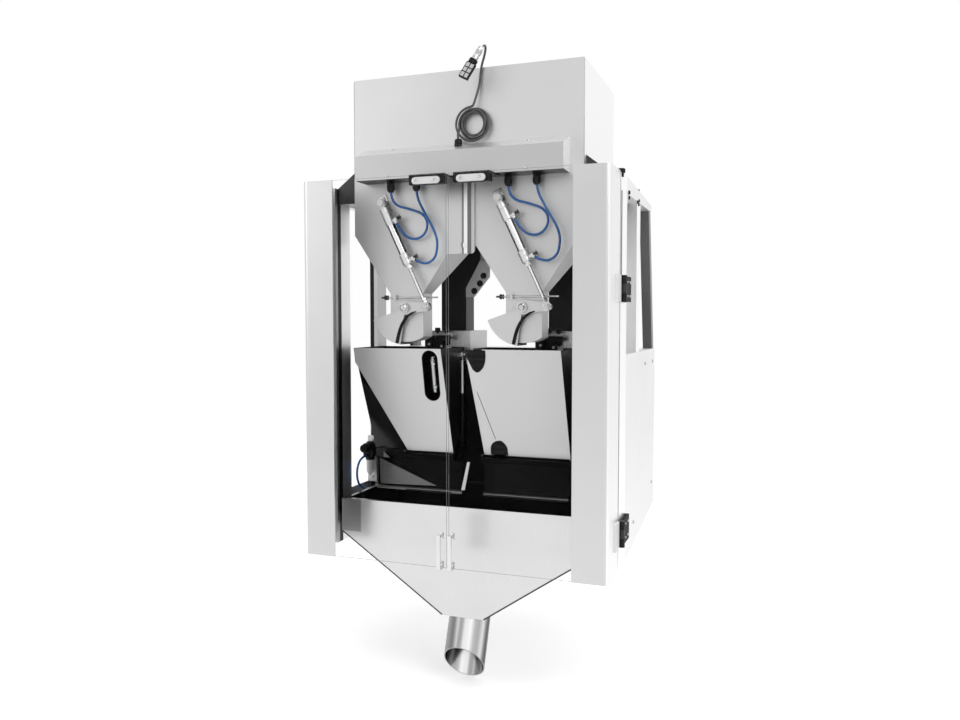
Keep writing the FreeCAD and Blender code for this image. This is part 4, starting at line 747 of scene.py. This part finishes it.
plate = Form().block((-355, -325), (292, 295), (70, 197))
plate.block((-359, -349), (292, 345), (150, 175))
for z in (84, 184):
    plate.button(at(REGULATOR_X, 292, z), FRONT, 4.0)
plate.done("regulator_plate", "sheet", "frame", "stainless", 0.5)

# Gate cylinders with their end blocks, ports and flow screws

CYLINDER_DOWN = Vector((0.42701, 0, -0.90425))
PORTS = ((52.0, Vector((0.54, 0, -0.84))), (157.0, Vector((0.95, 0, -0.31))))
REAR_EYE = [(-6, 7.0), (-6, 9.6), (-5.2, 10.4), (5.2, 10.4), (6, 9.6), (6, 7.0), (5.2, 3.6), (-5.2, 3.6)]
NECK = (8.5, 16.5)
NECK_HALF_WIDTH, NECK_HALF_DEPTH = 6.2, 5.4
ELBOW_OUT, HEXAGON_OUT, SLOT_OUT, SLOT_HALF = 14.0, 23.6, 29.3, 6.5
for word, side in SIDES.items():
    body = f"{word}_gate_barrel"
    rear = at(side * PIVOT_X - 57, 90, PIVOT_Z + 254)
    tube = Form().turned(rear, CYLINDER_DOWN, [(44, 9.4), (44, 9.9), (142, 9.9), (142, 9.4)], 48)
    tube.done(f"{word}_cylinder_tube", "barrel", body, "cylinder", 0.0, [f"{word}_gate_cylinder"])
    ends = Form().turned(rear, CYLINDER_DOWN, [
        (15, 8.5), (15, 10.5), (16, 11.6), (27, 11.6), (28, 10.8), (30, 10.8), (31, 11.8), (58, 11.8), (59.5, 10.6),
        (61, 9.2)], 48)
    ends.turned(rear, CYLINDER_DOWN, [
        (136, 9.2), (137.5, 10.6), (139, 11.8), (150, 11.8), (151, 11.0), (153, 11.0), (154, 11.8), (165, 11.6),
        (166, 10.4), (166, 8.0), (170, 8.0), (170.6, 7.2, "hex"), (176, 7.2, "hex"), (176.8, 6.0), (176.8, 4.4),
        (172, 4.35)], 48)
    ends.turned(rear, BACK, REAR_EYE, 48, closed=True)
    wide = CYLINDER_OUT * NECK_HALF_WIDTH * MM
    deep = BACK * NECK_HALF_DEPTH * MM
    top, foot = (rear + CYLINDER_DOWN * station * MM - deep for station in NECK)
    ends.slab([top - wide, top + wide, foot + wide, foot - wide], deep * 2)
    ends.done(f"{word}_cylinder_ends", "alloy", body, "cylinder", 0.3)
    fittings = Form()
    screws = Form()
    for station, way in PORTS:
        foot = rear + CYLINDER_DOWN * station * MM
        fittings.turned(foot, CYLINDER_OUT, [
            (10.5, 5.6, "hex"), (13.5, 5.6, "hex"), (14, 5.0), (15, 5.5), (20, 5.5), (20.8, 4.8), (20.8, 2.0)])
        fittings.turned(foot + CYLINDER_OUT * ELBOW_OUT * MM, way, [
            (0, 4.3), (5.4, 4.3), (5.8, 5.1), (9.4, 5.1), (10, 4.6), (10, 3.3), (7, 3.1)])
        screws.turned(foot, CYLINDER_OUT, [
            (20.4, 2.2), (27, 2.2), (27.2, 3.6, "rib"), (31, 3.6, "rib"), (31.6, 2.8), (31.6, 0.6)],
            ribs=12, depth=0.5)
        screws.turned(foot + CYLINDER_OUT * HEXAGON_OUT * MM, CYLINDER_OUT, [(0, 4.4, "hex"), (1.8, 4.4, "hex")])
        bar = CYLINDER_DOWN * SLOT_HALF * MM
        middle = foot + CYLINDER_OUT * SLOT_OUT * MM
        screws.pipe([middle - bar, middle + bar], 1.1)
    fittings.done(f"{word}_port_elbows", "alloy", body, "cylinder", 0.0)
    screws.done(f"{word}_flow_screws", "support", body, "cylinder", 0.0)
    end = at(side * PIVOT_X + 62, 90, PIVOT_Z + 2)
    rod_end = Form().turned(end, -CYLINDER_DOWN, [
        (10.2, 5.0), (11, 5.6, "hex"), (15, 5.6, "hex"), (16, 4.6), (16, 4.0)])
    rod_end.turned(end, -CYLINDER_DOWN, [(17, 4.0), (17, 6.2, "hex"), (21, 6.2, "hex"), (21, 4.0)], closed=True)
    rod_end.turned(end, BACK, [(-6.4, 7.6), (-6.4, 9.2), (6.4, 9.2), (6.4, 7.6)], 48, closed=True)
    rod_end.done(f"{word}_rod_end", "machined", f"{word}_gate_piston", "cylinder", 0.0)

# Gate seals, pivot and drive pin nuts, and stop screws

# The seal's edges: X and height from the gate's pivot
SEAL_LEFT = [(29, -8.2), (17, -11.5), (7, -17.5), (-2, -26), (-10, -38), (-16, -51), (-20.5, -65), (-24, -79),
             (-25, -86)]
SEAL_RIGHT = [(30, -10.2), (20, -14.5), (11, -21.5), (3, -30), (-4, -41), (-9, -53), (-13, -66), (-16, -79),
              (-17.5, -87)]
SEAL_DEPTH, SEAL_THICK = 98.6, 2.2
for word, side in SIDES.items():
    gate = f"{word}_gate"
    trim = Form()
    pairs = list(zip(SEAL_LEFT, SEAL_RIGHT))
    for upper, lower in zip(pairs, pairs[1:]):
        trim.slab([at(side * PIVOT_X + x, SEAL_DEPTH, PIVOT_Z + z) for x, z in (*upper, *reversed(lower))],
                  FRONT * SEAL_THICK * MM)
    trim.done(f"{word}_gate_seal", "rubber", gate, "black_plastic", 0.0)
    cap = Form().turned(at(side * PIVOT_X, 95.0, PIVOT_Z), FRONT, [
        (0, 11.6), (1.2, 11.6), (1.6, 10.8), (1.6, 8.2, "hex"), (6.0, 8.2, "hex"), (7.0, 7.4), (8.8, 5.6), (9.6, 2.0)],
        48)
    cap.done(f"{word}_pivot_nut", "machined", "frame", "stainless", 0.0)
    pin = Form().turned(at(side * PIVOT_X + 62, 79.5, PIVOT_Z + 2), FRONT, [
        (0, 8.4), (1.0, 8.4), (1.6, 7.8), (1.8, 5.6, "hex"), (5.0, 5.6, "hex"), (5.8, 4.6), (5.8, 1.0)])
    pin.done(f"{word}_drive_pin_nut", "machined", gate, "stainless", 0.0)
    seat = at(side * PIVOT_X - 58, 108, 570)
    stop = Form().turned(seat, RIGHT, [(0, 5.4, "hex"), (4.5, 5.4, "hex")])
    stop.turned(seat + RIGHT * 7.5 * MM, RIGHT, [(0, 6.2), (1.2, 6.2)])
    stop.turned(seat - RIGHT * 9 * MM, RIGHT, [(0, 2.4), (9, 2.4)], 24)
    stop.done(f"{word}_stop_nut", "support", "frame", "stainless", 0.2)

# Left bucket's folded corner: facet, side wall and chute cheek in near black steel as painted shade, and gusset

FOLD_THICK = 2.0


def folded(name, material, polygons):
    """Sheet panels, each an outline with the way to its other face."""
    form = Form()
    for outline, way in polygons:
        form.slab([at(*p) for p in outline], Vector(way).normalized() * FOLD_THICK * MM)
    return form.done(name, material, "frame", "stainless", 0.3)


folded("left_bucket_facet", "shade_black", [
    ([(-297.5, 112, 443), (-178, 166.5, 188), (-297.5, 228, 176)], (0.6, 0.7, 0.3)),
    ([(-182, 169, 184), (-182, 176, 95), (-297.5, 232, 84), (-297.5, 230, 174)], (0.45, 0.9, 0)),
    ([(-297.8, 113, 441), (-297.8, 230, 176), (-297.8, 233, 84), (-297.8, 262, 176), (-297.8, 268, 443)],
     (1, 0, 0))])
folded("left_bucket_gusset", "grade", [
    ([(-264, 207, 170), (-264, 209, 90), (-183, 164.5, 92), (-183, 164, 128)], (0.45, 0.9, 0))])

# Left bucket's sensor, right bucket's guards, and the crease line in dark steel as painted shade

PLATE_TOP, PLATE_DEPTH = 445, 110
PLATE_RUN, PLATE_DROP = 55, 260

# Outlines on the leaning front: X and height
GUARD_TOP = [(5, 443), (54, 443), (54, 428), (51, 412), (45, 400), (36, 391), (28, 389), (19, 396), (10, 416)]
GUARD_FOOT = [(50, 187), (95, 187), (92, 203), (86, 216), (78, 222), (70, 221), (66, 215), (58, 213), (52, 204)]
GUARD_THICK, CLIP_DEEP = 1.2, 12


def on_plate(x, z, proud=0.0):
    """Point on or before the buckets' leaning front."""
    return at(x, PLATE_DEPTH + (PLATE_TOP - z) * PLATE_RUN / PLATE_DROP - proud, z)


LEAN = (on_plate(0, 300) - on_plate(0, 400)).normalized()
INTO = Vector((0, -LEAN.z, LEAN.y))
sensor = Form().turned(on_plate(-89, 424, -15), LEAN, [
    (0, 4), (1, 5.5), (6, 5.5), (7, 7.6), (80, 7.6), (81, 6.4), (88, 6.4), (89, 3)], 32)
for z in (410, 352):
    sensor.slab([on_plate(-88, z, -2.6), on_plate(-80, z, -2.6), on_plate(-80, z - 4, -2.6),
                 on_plate(-88, z - 4, -2.6)], INTO * CLIP_DEEP * MM)
sensor.done("left_bucket_sensor", "upright", "frame", "cylinder", 0.0)
guard = Form()
for outline in (GUARD_TOP, GUARD_FOOT):
    guard.slab([on_plate(*p) for p in outline], -INTO * GUARD_THICK * MM)
guard.done("right_bucket_guards", "mesh", "frame", "dark_housing", 0.0)
# The crease is a thin dark steel line: painted shade in the crease.
crease = Form().pipe([on_plate(25.4, 341.8), on_plate(45, 284), on_plate(64.6, 225)], 0.7, 8)
crease.done("right_bucket_crease", "dim", "frame", "stainless", 0.0)

# Flap lips, and the left flap's plate, gusset and strap

# The lip's section: depths and heights
FLAP_LIP = [(150.6, 84.6), (150.6, 87.0), (152, 90.4), (155, 92.4), (161, 93.0), (161, 92.0), (156, 91.2),
            (153, 89.6), (151.8, 87), (151.8, 84.6)]
FLAP_FACE, GUSSET_THICK, STRAP_THICK = 159.3, 1.0, 1.4
for word, left, right in (("left", -256, -22), ("right", 35, 248)):
    lip = Form().slab([at(left, depth, z) for depth, z in FLAP_LIP], RIGHT * (right - left) * MM)
    lip.done(f"{word}_flap_lip", "grade", f"{word}_discharge", "stainless", 0.0)
# The left flap's plate is near black: painted shade.
wing = Form().block((-256, -24), (FLAP_FACE, 160.7), (92.5, 163))
wing.done("left_flap_plate", "shade_black", "left_discharge", "stainless", 0.4)
corner = Form().slab([at(-251, FLAP_FACE, 161), at(-249, FLAP_FACE, 95), at(-92, FLAP_FACE, 99)],
                     FRONT * GUSSET_THICK * MM)
corner.done("left_flap_gusset", "grade", "left_discharge", "stainless", 0.0)
strap = Form().slab([at(x, 159.4, z) for x, z in ((-26, 93), (-17, 93), (-3, 164), (-10, 164))],
                    FRONT * STRAP_THICK * MM)
strap.done("left_flap_strap", "sheet", "left_discharge", "stainless", 0.0)

# Screws of the valve box, panels and posts, and painted shadow strips on the posts

screws = Form()
for x in (-173.4, 172.0):
    screws.button(at(x, 52, 858), FRONT, 4.0)
for x in (-178, 163.5):
    screws.button(at(x, 95, 926), VALVE_SLOPE, 4.0)
for side in SIDES.values():
    for depth, z in ((309, 12), (600, 60), (600, 400), (470, 400)):
        screws.bolt(at(side * 375, depth, z), RIGHT * side, 4.4)
screws.done("panel_screws", "machined", "frame", "stainless", 0.0)
studs = Form()
shadow_strips = Form()
for side in SIDES.values():
    studs.turned(at(side * 373, 124, 836), UP, [
        (0, 6), (9, 6), (9, 8.6, "hex"), (17, 8.6, "hex"), (18.5, 7.4), (18.5, 2)])
    for depth, z, size in ((210, 813, 5.0), (212, 801, 4.4), (330, 806, 4.4), (346, 802, 4.4), (352, 812, 4.0)):
        studs.bolt(at(side * 374.6, depth, z), RIGHT * side, size)
    studs.bolt(at(side * 362, 414, 846), UP, 5.0)
    # Dark strips on the posts' front edges: painted shadow of the door stiles' rear edges.
    shadow_strips.block((side * 374.8, side * 375.7), (120, 127), (616, 806))
shadow_strips.done("post_painted_shadows", "support", "frame", "stainless", 0.0)
studs.done("post_bolts", "black", "frame", "black_plastic", 0.0)

# Hinge covers on the posts

HINGE_LEVELS = (0, 556)
COVER_OUT, COVER_REAR = 385, 196
covers = Form()
marks = Form()
for side in SIDES.values():
    for level in HINGE_LEVELS:
        covers.block((side * 379.2, side * COVER_OUT), (120.5, COVER_REAR), (level + 1, level + 59))
        covers.block((side * 375.2, side * 379.4), (165, COVER_REAR), (level + 1, level + 59))
        for z in (14, 46):
            for depth, size in ((178, 3.4), (150, 2.6)):
                marks.button(at(side * COVER_OUT, depth, level + z), RIGHT * side, size)
covers.done("hinge_covers", "rubber", "frame", "black_plastic", 0.8)
marks.done("hinge_screws", "machined", "frame", "stainless", 0.0)

# Rear cover and its screws

REAR_FACE = 647
cover = Form().block((-352, 352), (645, REAR_FACE), (62, 414))
cover.done("rear_cover", "panel", "frame", "stainless", 0.8)
fasteners = Form()
for x, z in ((-338, 76), (-338, 400), (0, 76), (0, 400), (338, 76), (338, 400), (-338, 238), (338, 238)):
    fasteners.button(at(x, REAR_FACE, z), BACK, 5.0)
fasteners.done("rear_cover_screws", "machined", "frame", "stainless", 0.0)

# Load cell brackets and bucket hooks

CELL_X, HOOK_SHIFT, CELL_DEPTH = 150, -9, 338
hooks = Form()
knobs = Form()
for side in SIDES.values():
    cell = side * CELL_X
    hooks.slab([at(cell + x, CELL_DEPTH, z) for x, z in (
        (68, 576), (92, 576), (136, 629), (136, 672), (108, 672), (68, 600))], BACK * 3 * MM)
    for x, z in ((92, 592), (108, 612), (118, 632)):
        knobs.bolt(at(cell + x, CELL_DEPTH, z), FRONT, 8.0)
    x0 = cell + HOOK_SHIFT
    knobs.block((x0 - 3, x0 + 50), (247, 261), (438, 474))
    knobs.block((x0 + 6, x0 + 20), (236, 247), (444, 468))
    for x, depth, z in ((2, 247, 466), (14, 236, 452), (30, 247, 470), (44, 247, 447)):
        hooks.turned(at(x0 + x, depth, z), FRONT, [(0, 3.4), (2.5, 3.4), (3, 2.6), (3, 1)], 24)
    knobs.block((x0 + 30, x0 + 70), (240, 246), (462, 474))
    hooks.block((x0 + 24, x0 + 64), (262, 270), (430, 482))
    hooks.block((x0 + 24, x0 + 64), (244, 262), (476, 480))
    for x in (32, 56):
        knobs.turned(at(x0 + x, 250, 480), UP, [
            (0, 4), (4, 4), (4, 6.5), (5, 7.4, "rib"), (14, 7.2, "rib"), (15, 6), (15, 1)], 48, ribs=12, depth=0.8)
        knobs.turned(at(x0 + x, 262, 456), FRONT, [(0, 7), (2, 7), (2, 5), (10, 5), (11, 4)])
    knobs.pipe([at(x0 + 20, 254, 470), at(x0 + 44, 252, 462), at(x0 + 72, 254, 470)], 2.2)
hooks.done("bucket_hooks", "sheet", "frame", "stainless", 0.4)
knobs.done("hook_knobs", "black", "frame", "black_plastic", 0.0)

# Weld beads and folded rims

RIPPLE = 5.0


def bead(form, start, end, radius=1.2):
    """Weld bead: a round wire with a ring every few millimetres."""
    run = end - start
    count = max(3, int(run.length / (RIPPLE * MM)))
    form.pipe([start + run * n / count for n in range(count + 1)], radius, 8)


def folded_rim(name, material, across, depth, z):
    """Frame of folded edges: inner and outer half width, four depths from front to rear, and two levels."""
    inner, outer = across
    rim = Form().block((-outer, outer), depth[:2], z)
    rim.block((-outer, outer), depth[2:], z)
    for side in SIDES.values():
        rim.block((side * outer, side * inner), depth[1:3], z)
    rim.done(name, material, "frame", "stainless", 0.5)


welds = Form()
edges = Form()
for side in SIDES.values():
    bead(welds, at(side * 327.5, 100.5, 60), at(side * 327.5, 100.5, -20))
    bead(welds, at(side * 327.5, 100.5, -20), at(side * 54, 100.5, -205))
    bead(welds, at(side * 291, 110.5, 866), at(side * 291, 110.5, 1102), 0.9)
    edges.pipe([at(side * 327.4, 100.6, -21), at(side * 190, 100.6, -113), at(side * 54, 100.6, -205)], 1.9)
welds.done("weld_beads", "weld", "frame", "stainless", 0.0)
edges.done("funnel_edges", "support", "frame", "stainless", 0.0)
folded_rim("funnel_rim", "dim", (316, 328), (101, 113, 408, 420), (60.6, 63))
folded_rim("box_rim", "box", (278, 291), (110.5, 124, 432, 444.5), (1103.6, 1106))
